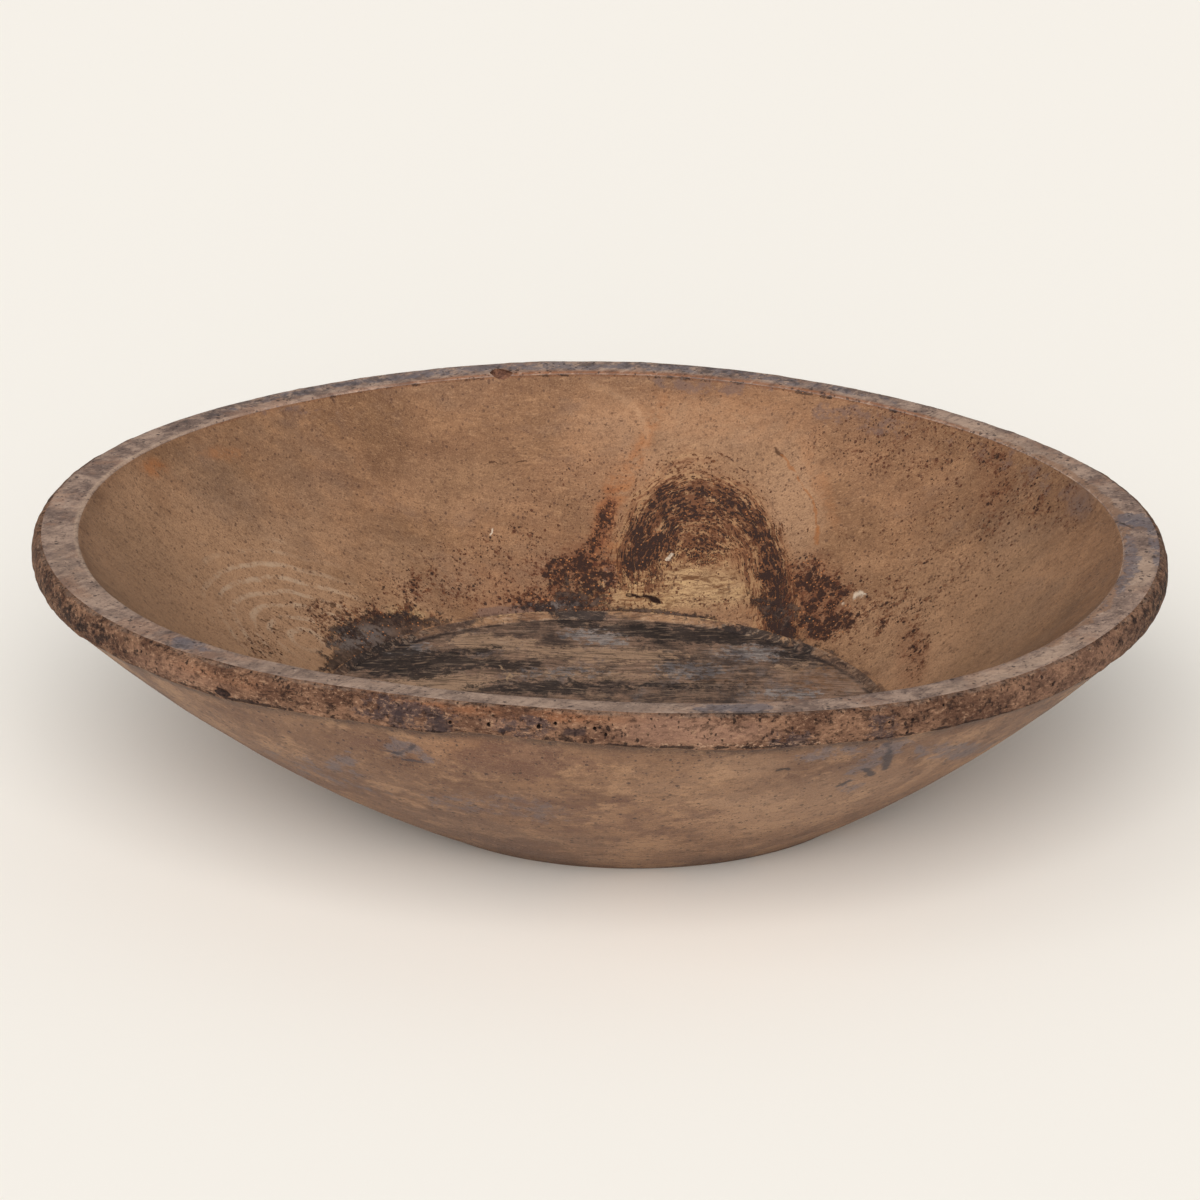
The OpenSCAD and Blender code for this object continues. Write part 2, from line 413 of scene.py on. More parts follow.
# Each patch: direction round the knot, half width, distance from its middle, half width, strength.
knot_patches = [(6, 34, 0.99, 0.22, 0.97), (54, 30, 0.96, 0.2, 0.9), (88, 26, 0.94, 0.18, 0.7),
                (124, 30, 1.06, 0.2, 0.68), (150, 12, 0.62, 0.12, 0.4), (164, 24, 0.96, 0.24, 0.95),
                (70, 80, 0.64, 0.18, 0.55), (140, 40, 0.7, 0.18, 0.62), (100, 36, 1.36, 0.12, 0.24),
                (-18, 16, 1.1, 0.2, 0.9), (92, 54, 0.34, 0.2, 0.5)]
for way, half_way, gap, half_gap, strength in knot_patches:
    turned = off_angle(knot_way, way)
    patch = np.exp(-(turned / half_way) ** 2 - ((knot_gap - gap) / half_gap) ** 2)
    lay_on("knot", strength * patch * on_back)
print("burnt share of the hollow %.3f" % stain_maps["char_and_shadow"][part == HOLLOW].mean())

# %% Stains on the floor
# On the floor, a stain's place is its distance to the right and to the back.
floor_stains = [
    # A dark strip just inside the shoulder at the back, and burns elsewhere.
    ("char_and_shadow", 48, 116, 62, 14, -8, 1.0, 0.25), ("char_and_shadow", 54, 117, 50, 11, -11, 1.0, 0.1),
    ("char_and_shadow", -30, 33, 34, 11, 4, 0.9), ("char_and_shadow", -93, 62, 27, 22, 19, 1.0),
    ("char_and_shadow", -70, 84, 26, 8, 10, 0.7), ("char_and_shadow", -52, 66, 30, 9, 5, 0.75),
    ("char_and_shadow", 100, 92, 13, 15, -30, 0.7), ("char_and_shadow", -12, 138, 16, 9, 0, 0.9),
    ("char_and_shadow", 30, 40, 60, 9, 0, 0.45), ("char_and_shadow", 20, -60, 90, 50, 0, 0.35),
    # The shoulder's burnt corner.
    ("char_and_shadow", -112, 78, 34, 9, 60, 0.8), ("orange", -106, 90, 16, 5, 52, 0.9),
    ("orange", -112, 82, 12, 12, 50, 0.8),
    # Pale and rusty wood.
    ("pale", -58, 98, 24, 15, 9, 0.9), ("pale", 4, 84, 46, 12, -2, 0.85),
    ("pale", -80, 36, 28, 14, 0, 1.0), ("pale", -30, 60, 70, 34, 0, 0.3), ("pale", 10, 50, 40, 8, 3, 0.45),
    ("pale", 100, 70, 14, 12, 23, 0.5), ("orange", 112, 50, 20, 26, 10, 0.5),
    ("orange", 60, 44, 26, 8, 0, 0.4),
    # What is left of the pale shoulder.
    ("tan", -48, 134, 34, 12, 14, 1.0), ("tan", 46, 136, 42, 9, -14, 1.0),
    ("tan", 88, 111, 16, 7, -42, 0.7),
    # Blue-grey mould.
    ("blue", -101, 86, 15, 12, 20, 0.9), ("blue", 0, 113, 20, 13, 0, 0.9),
    ("blue", 80, 90, 19, 14, 0, 0.85), ("blue", 46, 62, 22, 14, 7, 0.7), ("blue", 92, 30, 22, 8, 5, 0.6),
    ("blue", -20, 54, 30, 9, 5, 0.4),
]
for row in floor_stains:
    stain(FLOOR, *row)
print(len(floor_stains), "stains on the floor")

# %% Stains on the rim's face, the band and the outer wall
# Distances run outwards from the lip, down from the face's edge, and down from the band.
face_stains = [
    # The lip, worn round and rubbed bare, with a thin painted highlight along its inner edge.
    ("tan", 0, 0.5, 230, 4.5, 0, 0.9, 0.6), ("pale", 175, 0.2, 190, 1.7, 0, 1.0, 0.3),
    ("pale", 250, 0.2, 150, 1.2, 0, 0.6, 0.5), ("orange", 82, 0.4, 190, 2.2, 0, 0.9, 0.25),
    # The front.
    ("blue", 225, 7, 13, 8, 0, 0.8), ("blue", 283, 9, 20, 7, 0, 0.9), ("char_and_shadow", 283, 15.5, 22, 2.2, 0, 0.8),
    ("char_and_shadow", 224, 13, 16, 3, 0, 0.6), ("pale", 316, 10, 60, 8, 0, 0.7), ("pale", 268, 9, 90, 9, 0, 0.4),
    ("pale", 244, 8, 60, 8, 0, 0.35), ("pale", 198, 9, 60, 8, 0, 0.45),
    ("orange", 203, 13, 20, 5, 0, 0.35),
    # The right, with a pale oval in blue-grey wood.
    ("blue", 350, 3, 60, 4, 0, 0.8), ("blue", 357, 15, 40, 4, 0, 0.8), ("blue", 5, 9, 12, 12, 0, 0.8),
    ("pale", 348, 10, 34, 6, 0, 0.85), ("pale", 35, 6, 60, 7, 0, 0.5),
    # The back, evenly grey.
    ("blue", 95, 10.5, 210, 7, 0, 0.62, 0.25), ("char_and_shadow", 128, 11, 100, 7, 0, 0.45),
    ("char_and_shadow", 78, 12, 110, 6, 0, 0.5),
]
band_stains = [
    ("blue", 252, 9, 26, 8, 0, 0.85), ("blue", 288, 13, 10, 5, 0, 0.8), ("blue", 263, 9, 14, 5, 0, 0.7),
    ("blue", 297, 10, 9, 9, 0, 0.7), ("blue", 90, 8, 260, 12, 0, 0.3), ("pale", 325, 8, 70, 10, 0, 0.35),
    ("pale", 278, 8, 36, 8, 0, 0.9), ("pale", 261, 8, 12, 3, 0, 0.6), ("pale", 226, 10, 34, 6, 0, 0.4),
    ("orange", 261, 3.4, 58, 2.6, 0, 1.0, 0.3), ("orange", 233, 6, 40, 3, 0, 0.4),
    ("char_and_shadow", 210, 8, 44, 5, 0, 0.5), ("char_and_shadow", 240, 17, 40, 3.5, 0, 0.5), ("char_and_shadow", 266, 15, 26, 3, 0, 0.6),
    ("char_and_shadow", 199, 6, 40, 8, 0, 0.35), ("char_and_shadow", 342, 8, 70, 6, 0, 0.45), ("char_and_shadow", 15, 8, 60, 6, 0, 0.4),
    # Light crumbs along the lower edge, and a dark line of painted shadow under them.
    ("red", 281, 14.6, 52, 1.7, 0, 0.95, 0.5), ("red", 228, 14.2, 60, 1.7, 0, 0.6, 0.5),
    ("char_and_shadow", 270, 15.4, 300, 0.9, 0, 0.7, 0.5),
]
wall_stains = [
    # The two crossed smears under the band, and the drips at the right.
    ("blue", 250, 16, 13, 5, -34, 0.8), ("blue", 251.5, 17, 11, 4, 30, 0.8),
    ("blue", 241, 35, 15, 5, -31, 0.7), ("blue", 299, 14, 9, 22, 20, 0.75),
    ("blue", 311, 27, 58, 7, 20, 0.7), ("blue", 300, 41, 13, 5, 30, 0.5), ("blue", 293, 8, 22, 6, 0, 0.6),
    # Broad marks of use.
    ("pale", 284, 12, 26, 9, 0, 0.5), ("char_and_shadow", 206, 30, 60, 16, -14, 0.35),
    ("char_and_shadow", 330, 22, 60, 16, 14, 0.35), ("orange", 257, 10, 35, 11, -12, 0.35),
    ("blue", 258, 58, 44, 14, 0, 0.5), ("blue", 232, 50, 50, 18, 0, 0.35),
    ("pale", 296, 52, 60, 26, 0, 0.75), ("pale", 282, 30, 40, 20, 0, 0.35),
    ("red", 268, 60, 80, 24, 0, 0.5), ("red", 262, 18, 34, 15, -10, 1.0), ("red", 245, 14, 20, 10, 0, 0.5),
    # Painted shade low on the outer wall.
    ("shade", 270, 104, 190, 38, 0, 0.09),
]
for where, stains in ((FACE, face_stains), (BAND, band_stains), (WALL, wall_stains)):
    for row in stains:
        stain(where, *row)

# %% Painted shadow on the band's underside and on the wall just under the band, and the worn edge between face and band
# The band's underside rows take a dark char colour: painted shadow under the band's ledge.
low_edge = (run > UNDERSIDE - 0.5) & (part == BAND)[:, None]
stain_maps["char_and_shadow"][low_edge] = np.maximum(stain_maps["char_and_shadow"], 0.6 + 0.3 * ragged)[low_edge]
# The wall just under the band is darkened in the shade map: painted shadow under the band.
under_band_shadow = smooth((4.4 + 2.6 * ragged_fine - run) / 3.6) * (part == WALL)[:, None]
stain_maps["shade"] = np.maximum(stain_maps["shade"], under_band_shadow)
face_out = np.where(part[:, None] == FACE, smooth((run - 13.5) / 4.2) * 0.6, 0.0)
band_in = np.where(part[:, None] == BAND, smooth((3.2 - run) / 3.2) * 0.7, 0.0)
stain_maps["edge"] = (face_out + band_in) * smooth(0.75 + 0.7 * ragged)
print("painted", ", ".join(stain_maps))


# %% [markdown]
# ## From arrays to one closed mesh
# Rows and columns are joined into quads. The two ends are closed by a fan of triangles
# round one point each, in the middle of the floor and in the middle of the foot.

# %% Build the bowl's mesh
def closed_faces(row_count, column_count):
    """Quads between neighbouring rows and columns, wrapped round, and a fan to the first and
    the last extra point."""
    row, column = np.meshgrid(np.arange(row_count - 1), np.arange(column_count), indexing="ij")
    here, beside = row * column_count + column, row * column_count + (column + 1) % column_count
    quads = np.stack([here, beside, beside + column_count, here + column_count], -1).reshape(-1, 4)
    ring = np.arange(column_count)
    ring_next = (ring + 1) % column_count
    last = (row_count - 1) * column_count
    first_pole, last_pole = row_count * column_count, row_count * column_count + 1
    start = np.stack([ring_next, ring, first_pole + 0 * ring], -1)
    end = np.stack([last + ring, last + ring_next, last_pole + 0 * ring], -1)
    return quads, start, end


quads, start_fan, end_fan = closed_faces(len(rows), COLUMNS)
poles = np.array([surface[0].mean(axis=0), [FOOT_X, 0.0, 0.4]])
points = np.concatenate([surface.reshape(-1, 3), poles]) * MM
bowl_mesh = bpy.data.meshes.new("dough_bowl_wood")
bowl_mesh.from_pydata(points.tolist(), [], quads.tolist() + start_fan.tolist() + end_fan.tolist())
row_part = part[np.minimum(np.arange(len(quads)) // COLUMNS + 1, len(rows) - 1)]
face_part = np.concatenate([row_part, np.full(COLUMNS, FLOOR), np.full(COLUMNS, FOOT)])
bowl_mesh.polygons.foreach_set("material_index", face_part.astype(np.int32))
for name, values in stain_maps.items():
    attribute = bowl_mesh.attributes.new(name, "FLOAT", "POINT")
    flat = np.concatenate([values.reshape(-1), [values[0].mean(), values[-1].mean()]])
    attribute.data.foreach_set("value", flat.astype(np.float32))
bowl_mesh.update()
bowl = bpy.data.objects.new("dough_bowl", bowl_mesh)
bpy.context.scene.collection.objects.link(bowl)
triangles = np.concatenate([quads[:, [0, 1, 2]], quads[:, [0, 2, 3]], start_fan, end_fan])
a, b, c = (points[triangles[:, corner]] for corner in range(3))
volume = float(np.einsum("ij,ij->", a, np.cross(b, c))) / 6.0
if volume < 0:
    bowl_mesh.flip_normals()
print("%.3f litres of wood, %d faces" % (abs(volume) * 1000.0, len(bowl_mesh.polygons)))


# %% [markdown]
# ## Materials: tools shared by all the finishes
# The finishes differ from part to part, but they share what wood does: long grain, mottled
# colour, dark pores and stains with torn edges. Each of these is a node group, which keeps
# the finishes alike and short. Nodes are added by small helpers, so that a finish reads as a
# list of what was laid on the wood.

# %% Helpers that add nodes to a tree
MIDDLE = (0.5, 0.5, 0.5)


class Nodes:
    """A node tree that is being filled: each helper adds to it and gives back what comes out."""

    def __init__(self, tree):
        self.tree = tree

    def fill(self, socket, value):
        """Links a socket to another one, or gives it a value of its own."""
        if isinstance(value, bpy.types.NodeSocket):
            self.tree.links.new(value, socket)
        else:
            socket.default_value = value

    def add(self, kind, inputs=None, **settings):
        """Adds one node, sets its settings and fills its inputs."""
        node = self.tree.nodes.new("ShaderNode" + kind)
        for key, value in settings.items():
            setattr(node, key, value)
        for key, value in (inputs or {}).items():
            self.fill(node.inputs[key], value)
        return node

    def calc(self, operation, *values, clamp=False):
        """One Math node."""
        return self.add("Math", dict(enumerate(values)), operation=operation, use_clamp=clamp).outputs[0]

    def times(self, one, other):
        """A product."""
        return self.calc("MULTIPLY", one, other)

    def line(self, value, slope, start):
        """A straight line: the value times the slope, plus the start."""
        return self.calc("MULTIPLY_ADD", value, slope, start)

    def vector(self, operation, *values, scale=None):
        """One Vector Math node. A length, a distance and a dot product are one number each."""
        inputs = dict(enumerate(values))
        if scale is not None:
            inputs[3] = scale
        node = self.add("VectorMath", inputs, operation=operation)
        return node.outputs[1 if operation in ("LENGTH", "DISTANCE", "DOT_PRODUCT") else 0]

    def tint(self, mask, below, above):
        """One colour mix: the mask lays the second colour over the first."""
        return self.add("Mix", {0: mask, 6: below, 7: above}, data_type="RGBA").outputs[2]

    def step(self, value, low, high, to_low=0.0, to_high=1.0):
        """A soft step between two values, up or down."""
        return self.add("MapRange", {0: value, 1: low, 2: high, 3: to_low, 4: to_high},
                        interpolation_type="SMOOTHSTEP").outputs[0]

    def place(self, scale=(1, 1, 1), location=(0, 0, 0), rotation=(0, 0, 0)):
        """Object coordinates, scaled, turned and moved by a Mapping node."""
        here = self.add("TexCoord").outputs["Object"]
        return self.add("Mapping", {0: here, "Location": location, "Rotation": rotation,
                                    "Scale": scale}).outputs[0]

    def noise(self, per_metre, detail, roughness=0.55, where=None, **placing):
        """One noise texture's value, at a point that is given or at the place that is asked for."""
        where = self.place(**placing) if where is None else where
        return self.add("TexNoise", {"Vector": where, "Scale": per_metre, "Detail": detail,
                                     "Roughness": roughness}).outputs[0]

    def shake(self, per_metre, detail):
        """A noise texture's colour: three values from 0 to 1, to push a point about with."""
        return self.add("TexNoise", {"Vector": self.place(), "Scale": per_metre,
                                     "Detail": detail}).outputs["Color"]

    def cells(self, where, per_metre, **settings):
        """A Voronoi pattern: the distance to a cell's middle, and three random values for each cell."""
        node = self.add("TexVoronoi", {"Vector": where, "Scale": per_metre}, **settings)
        return node.outputs["Distance"], self.add("SeparateColor", {0: node.outputs["Color"]}).outputs

    def use(self, group, **inputs):
        """Places a node group and returns its outputs."""
        node = self.add("Group", node_tree=group.tree)
        for key, value in inputs.items():
            self.fill(node.inputs[key.replace("_", " ")], value)
        return node.outputs


class Group(Nodes):
    """A shader node group that is being filled, with named numbers and points going in."""

    def __init__(self, title, numbers, outputs, points=()):
        super().__init__(bpy.data.node_groups.new(title, "ShaderNodeTree"))
        face = self.tree.interface
        for name in points:
            face.new_socket(name, in_out="INPUT", socket_type="NodeSocketVector")
        for name, value in numbers.items():
            face.new_socket(name, in_out="INPUT", socket_type="NodeSocketFloat").default_value = value
        for name in outputs:
            face.new_socket(name, in_out="OUTPUT", socket_type="NodeSocketFloat")
        self.given = self.tree.nodes.new("NodeGroupInput").outputs
        self.results = self.tree.nodes.new("NodeGroupOutput").inputs

    def put_out(self, **results):
        """Joins what was worked out to the group's outputs."""
        for name, value in results.items():
            self.fill(self.results[name], value)
        print("group:", self.tree.name, "puts out", ", ".join(results))


# %% Group: the figure of the wood, with its grain along X
wood_figure = group = Group("wood_figure", {"Fineness": 1.0, "Waviness": 0.3},
                            ["Mottle", "Cloud", "Streaks", "Fibre", "Grit", "Pores"])
fineness = group.given["Fineness"]
bend = group.vector("SUBTRACT", group.shake(9.0, 2.0), MIDDLE)
bend = group.vector("SCALE", bend, scale=group.times(group.given["Waviness"], 60.0 * MM))
wood_place = group.vector("ADD", group.place(), bend)
long_place = group.vector("MULTIPLY", wood_place, (0.14, 1.0, 1.0))
short_place = group.vector("MULTIPLY", wood_place, (0.6, 1.0, 1.0))
pore_gap, pore_kind = group.cells(short_place, group.times(fineness, 330.0))
group.put_out(Mottle=group.noise(14.0, 6.0, 0.62, wood_place),
              Cloud=group.noise(85.0, 8.0, 0.78, short_place),
              Streaks=group.noise(group.times(fineness, 90.0), 6.0, 0.66, long_place),
              Fibre=group.noise(group.times(fineness, 520.0), 4.0, 0.7, long_place),
              Grit=group.noise(1100.0, 2.0, 0.7, wood_place),
              Pores=group.times(group.step(pore_gap, 0.24, 0.1), group.step(pore_kind[0], 0.7, 0.95)))

# %% Group: dark specks, from a few pricks to a solid crust as the density grows
dark_specks = group = Group("dark_specks", {"Density": 0.0, "Fineness": 1.0},
                            ["Mask", "Core", "Fleck", "Under"])
density = group.given["Density"]
shaken = group.vector("MULTIPLY_ADD", group.shake(1300.0, 2.0), [1.3 * MM] * 3,
                      group.place(scale=(1.0, 0.8, 0.72)))
clump = group.line(group.noise(75.0, 5.0, 0.74), 4.4, -1.2)
level = group.calc("MINIMUM", group.times(density, clump), 1.15)


def speck_layer(scale, low, spread, growth, share):
    """Round dots, one in each cell of a Voronoi pattern: some cells stay empty, and the dots
    grow with the density."""
    gap, kind = group.cells(shaken, group.times(group.given["Fineness"], scale))
    size = group.line(group.times(level, level), growth, group.line(kind[1], spread, low))
    there = group.step(group.line(level, share, group.times(kind[0], -1.0)), 0.0, 0.06)
    return group.times(group.step(group.calc("DIVIDE", gap, size), 1.0, 0.72), there), kind[2]


large, large_kind = speck_layer(390.0, 0.10, 0.24, 0.36, 1.2)
small, _ = speck_layer(760.0, 0.2, 0.24, 0.2, 0.9)
both = group.calc("MAXIMUM", large, group.times(small, 0.85))
torn_level = group.line(group.calc("SUBTRACT", group.noise(300.0, 6.0, 0.82), 0.5), 3.2, level)
fleck_gap, fleck_kind = group.cells(group.place(), 480.0)
group.put_out(Mask=group.times(both, group.step(density, 0.0, 0.05)),
              Core=group.step(group.line(level, 0.55, group.times(large_kind, 0.55)), 0.42, 0.72),
              Under=group.times(group.step(torn_level, 0.5, 0.85), group.step(density, 0.1, 0.3)),
              Fleck=group.times(group.step(fleck_gap, 0.3, 0.14), group.step(fleck_kind[1], 0.58, 0.66)))

# %% Group: a stain's soft mask turned into a torn, patchy one
torn_stain = group = Group("torn_stain", {"Mask": 0.0, "Size": 1.0, "Depth": 1.0}, ["Mask"])
given = group.given
patchy = group.noise(group.calc("DIVIDE", 150.0, given["Size"]), 9.0, 0.74, scale=(0.8, 0.65, 1.0))
lift = group.times(group.calc("SUBTRACT", patchy, 0.5), given["Depth"])
cut = group.step(group.line(lift, 3.4, given["Mask"]), 0.3, 0.72)
group.put_out(Mask=group.times(cut, group.step(given["Mask"], 0.0, 0.2)))

# %% Group: a thin mark between two points, for cracks, scratches and flakes
thin_mark = group = Group("thin_mark", {"Width": 1.0 * MM, "Wobble": 3.0 * MM, "Depth share": 0.3},
                          ["Mask"], ["Start", "End"])
given = group.given
wobble = group.vector("SUBTRACT", group.shake(130.0, 4.0), MIDDLE)
here = group.vector("ADD", group.place(), group.vector("SCALE", wobble, scale=given["Wobble"]))
squash = group.add("CombineXYZ", {0: 1.0, 1: given["Depth share"], 2: 1.0}).outputs[0]


def squashed_gap(tip):
    """The line from the mark's start to another point, with its depth shortened."""
    return group.vector("MULTIPLY", group.vector("SUBTRACT", tip, given["Start"]), squash)


to_here, to_end = squashed_gap(here), squashed_gap(given["End"])
share = group.calc("DIVIDE", group.vector("DOT_PRODUCT", to_here, to_end),
                   group.vector("DOT_PRODUCT", to_end, to_end), clamp=True)
off_line = group.vector("DISTANCE", to_here, group.vector("SCALE", to_end, scale=share))
group.put_out(Mask=group.step(group.calc("DIVIDE", off_line, given["Width"]), 1.0, 0.35))


# %% [markdown]
# ## The finishes
# The colours are read as paint colours under plain light. Each finish starts from mottled
# wood and takes one wash of colour after another, as a painter would lay them: soft clouds
# first, then grain, then stains from the painted maps, then specks and cracks. It ends in
# one Principled shader with a bump. In the hollow and on the floor, the burnt wood is also
# made rougher than the rest.

# %% The base of every finish
def rgb(red, green, blue):
    """A colour given as it looks on a screen, 0 to 255, as the linear value that Blender mixes."""
    linear = [((c / 255 + 0.055) / 1.055) ** 2.4 for c in (red, green, blue)]
    return (*linear, 1.0)


def new_material(title):
    """A new material with an empty node tree."""
    material = bpy.data.materials.new(title)
    material.use_nodes = True
    material.node_tree.nodes.clear()
    return material


class Finish(Nodes):
    """A wood finish in the making: its nodes, the wood's figure and the colour laid so far."""

    def __init__(self, title, fineness, waviness):
        self.material = new_material(title)
        super().__init__(self.material.node_tree)
        self.figure = self.use(wood_figure, Fineness=fineness, Waviness=waviness)

    def pick(self, pattern):
        """A pattern as it is, or the one that a name stands for: a painted map or a part of the figure."""
        if not isinstance(pattern, str):
            return pattern
        return self.painted(pattern) if pattern in stain_maps else self.figure[pattern]

    def painted(self, name):
        """One of the painted maps."""
        return self.add("Attribute", attribute_name=name, attribute_type="GEOMETRY").outputs["Fac"]

    def torn(self, name, size, depth):
        """One of the painted maps, with torn edges."""
        return self.use(torn_stain, Mask=self.painted(name), Size=size, Depth=depth)["Mask"]

    def within(self, mask, pattern, low, high):
        """A soft step of a pattern, only where a mask lies."""
        return self.times(self.pick(mask), self.step(self.pick(pattern), low, high))

    def base(self, pattern, low, high, dark, light):
        """The first colour: dark and light wood by a soft step of a pattern."""
        self.color = self.tint(self.step(self.pick(pattern), low, high), rgb(*dark), rgb(*light))

    def wash(self, *layers):
        """Lays colours one over another. Each has a pattern or the name of one, its strength, its
        colour, and the two levels between which it sets in, unless it is a mask already."""
        for pattern, amount, above, *levels in layers:
            mask = self.pick(pattern)
            mask = self.step(mask, *levels) if levels else mask
            above = rgb(*above) if isinstance(above, tuple) else above
            self.color = self.tint(self.times(mask, amount), self.color, above)

    def draw(self, amount, above, *marks):
        """Draws thin marks: each has a start and an end in millimetres, and a half width."""
        for start, end, width in marks:
            mark = self.use(thin_mark, Start=[v * MM for v in start], End=[v * MM for v in end],
                            Width=width * MM, Wobble=7.0 * MM,
                            Depth_share=1.0 if start[2] == FLOOR_Z else 0.3)
            self.wash((mark["Mask"], amount, above))

    def close(self, roughness, height, depth, gloss=0.16):
        """The Principled shader with its bump, whose depth is in millimetres. Old dry wood hardly
        shines."""
        bump = self.add("Bump", {"Height": height, "Distance": depth * MM, "Strength": 1.0})
        shader = self.add("BsdfPrincipled", {"Base Color": self.color, "Roughness": roughness,
                                             "Normal": bump.outputs[0], "Specular IOR Level": gloss})
        self.add("OutputMaterial", {0: shader.outputs[0]})
        print("finish:", self.material.name, "of", len(self.tree.nodes), "nodes")


# %% The hollow: smooth worn wood with clouds, grain and fibres
hollow = wood = Finish("hollow_wood", 1.2, 0.5)
cloud, streaks, fibre, grit = (wood.figure[name] for name in ("Cloud", "Streaks", "Fibre", "Grit"))
wood.base("Mottle", 0.32, 0.68, (115, 84, 59), (150, 111, 81))
tan = wood.painted("tan")
wood.wash(
    (cloud, 0.35, (100, 72, 55), 0.68, 0.34),
    (wood.noise(11.0, 6.0, 0.66, scale=(0.7, 1.0, 1.0), location=(0.3, 0.1, 0.2)), 0.42,
     (116, 93, 76), 0.5, 0.64),
    (wood.noise(24.0, 7.0, 0.72, location=(0.1, 0.4, 0.7)), 0.3, (98, 80, 72), 0.54, 0.68),
    (cloud, 0.35, (166, 126, 93), 0.5, 0.68),
    # The pale map lays pale wood and painted light on the walls, and the shade map painted shade and two
    # stains under the lip.
    ("pale", 0.75, (170, 134, 104)),
    (tan, 0.9, (176, 144, 106)),
    ("shade", 0.42, (92, 62, 46)),
    (streaks, 0.3, (100, 70, 50), 0.52, 0.68),
    (wood.within(tan, fibre, 0.5, 0.62), 0.75, (82, 56, 38)),
    (wood.within(tan, streaks, 0.5, 0.58), 0.45, (110, 74, 44)),
    (fibre, 0.35, (172, 134, 100), 0.54, 0.72),
    (wood.noise(260.0, 6.0, 0.85), 0.5, (86, 58, 42), 0.52, 0.62),
    (wood.noise(190.0, 6.0, 0.82, location=(0.2, 0.6, 0.4)), 0.18, (184, 146, 112), 0.53, 0.66),
    (grit, 0.42, (86, 60, 46), 0.5, 0.68),
    (grit, 0.24, (180, 144, 112), 0.46, 0.32),
    (fibre, 0.4, (92, 64, 48), 0.44, 0.3))

# %% The hollow's growth rings: a sine of the distance from one line through the left wall
rings_place = wood.place(scale=(0.0, 0.5, 1.0), location=(0.0, -27.0 * MM, -56.0 * MM))
ring_bend = wood.line(wood.noise(30.0, 4.0), 6.0 * MM, wood.vector("LENGTH", rings_place))
ring_mask = wood.times(wood.step(wood.calc("SINE", wood.times(ring_bend, 1080.0)), 0.1, 0.95),
                       wood.step(wood.noise(70.0, 7.0, 0.78), 0.4, 0.56))
wood.wash(
    (wood.times(ring_mask, wood.painted("rings")), 0.54, (178, 154, 130)),
    (wood.within("orange", cloud, 0.38, 0.58), 0.62, (146, 88, 46)),
    (wood.within("red", cloud, 0.3, 0.6), 0.55, (104, 60, 42)),
    (wood.torn("blue", 1.2, 1.0), 0.55, (96, 78, 74)))

# %% The dark line above the shoulder, and the oval figure under the lip at the right
SHOULDER_X = 2.2  # the shoulder's middle lies this far to the right
OVAL_AT, OVAL_SIZE = (243.0, 71.0, 125.0), (10.0, 24.0, 11.0)


def from_axis(finish):
    """Distance from the upright line through the shoulder's middle."""
    flat = finish.place(scale=(1.0, 1.0, 0.0), location=(-SHOULDER_X * MM, 0.0, 0.0))
    return finish.vector("LENGTH", flat)


shoulder_line = wood.times(wood.step(from_axis(wood), (SHOULDER_R + 2.0) * MM, (SHOULDER_R + 0.8) * MM),
                           wood.step(wood.noise(70.0, 6.0, 0.75), 0.46, 0.54))
oval_place = wood.place(scale=[1 / (size * MM) for size in OVAL_SIZE],
                        location=[-at / size for at, size in zip(OVAL_AT, OVAL_SIZE)])
oval_gap = wood.vector("LENGTH", oval_place)
oval_gap = wood.line(wood.noise(90.0, 3.0), 0.7, wood.calc("SUBTRACT", oval_gap, 0.35))
oval_lines = wood.times(wood.step(wood.calc("SINE", wood.times(oval_gap, 15.0)), 0.5, 0.95),
                        wood.step(oval_gap, 2.3, 1.2))
wood.wash(
    (shoulder_line, 0.7, (74, 54, 46)),
    (oval_gap, 0.4, (104, 88, 80), 1.1, 0.5),
    (oval_lines, 0.4, (96, 66, 48)))

# %% The knot's own coordinates: distance from its middle, and the direction round it
knot = wood.place(scale=(1 / (KNOT_W * MM), 0.0, 1 / (KNOT_H * MM)),
                  location=(-KNOT_X / KNOT_W, 0.0, -KNOT_Z / KNOT_H))
knot_bend = wood.vector("SUBTRACT", wood.shake(45.0, 3.0), MIDDLE)
knot_bend = wood.vector("MULTIPLY_ADD", knot_bend, (0.22, 0.22, 0.22), knot)
knot_xyz = wood.add("SeparateXYZ", {0: knot_bend}).outputs
knot_r = wood.vector("LENGTH", wood.add("CombineXYZ", {0: knot_xyz[0], 2: knot_xyz[2]}).outputs[0])
knot_turn = wood.calc("ARCTAN2", knot_xyz[2], knot_xyz[0])
polar = wood.add("CombineXYZ", {0: wood.times(knot_r, 24.0), 1: wood.times(knot_turn, 9.0)}).outputs[0]
hatch = wood.noise(1.0, 6.0, 0.78, wood.vector("MULTIPLY", polar, (0.8, 0.3, 1.0)))
wriggle = wood.vector("MULTIPLY_ADD", wood.shake(700.0, 2.0), (0.8, 1.1, 0.0), polar)

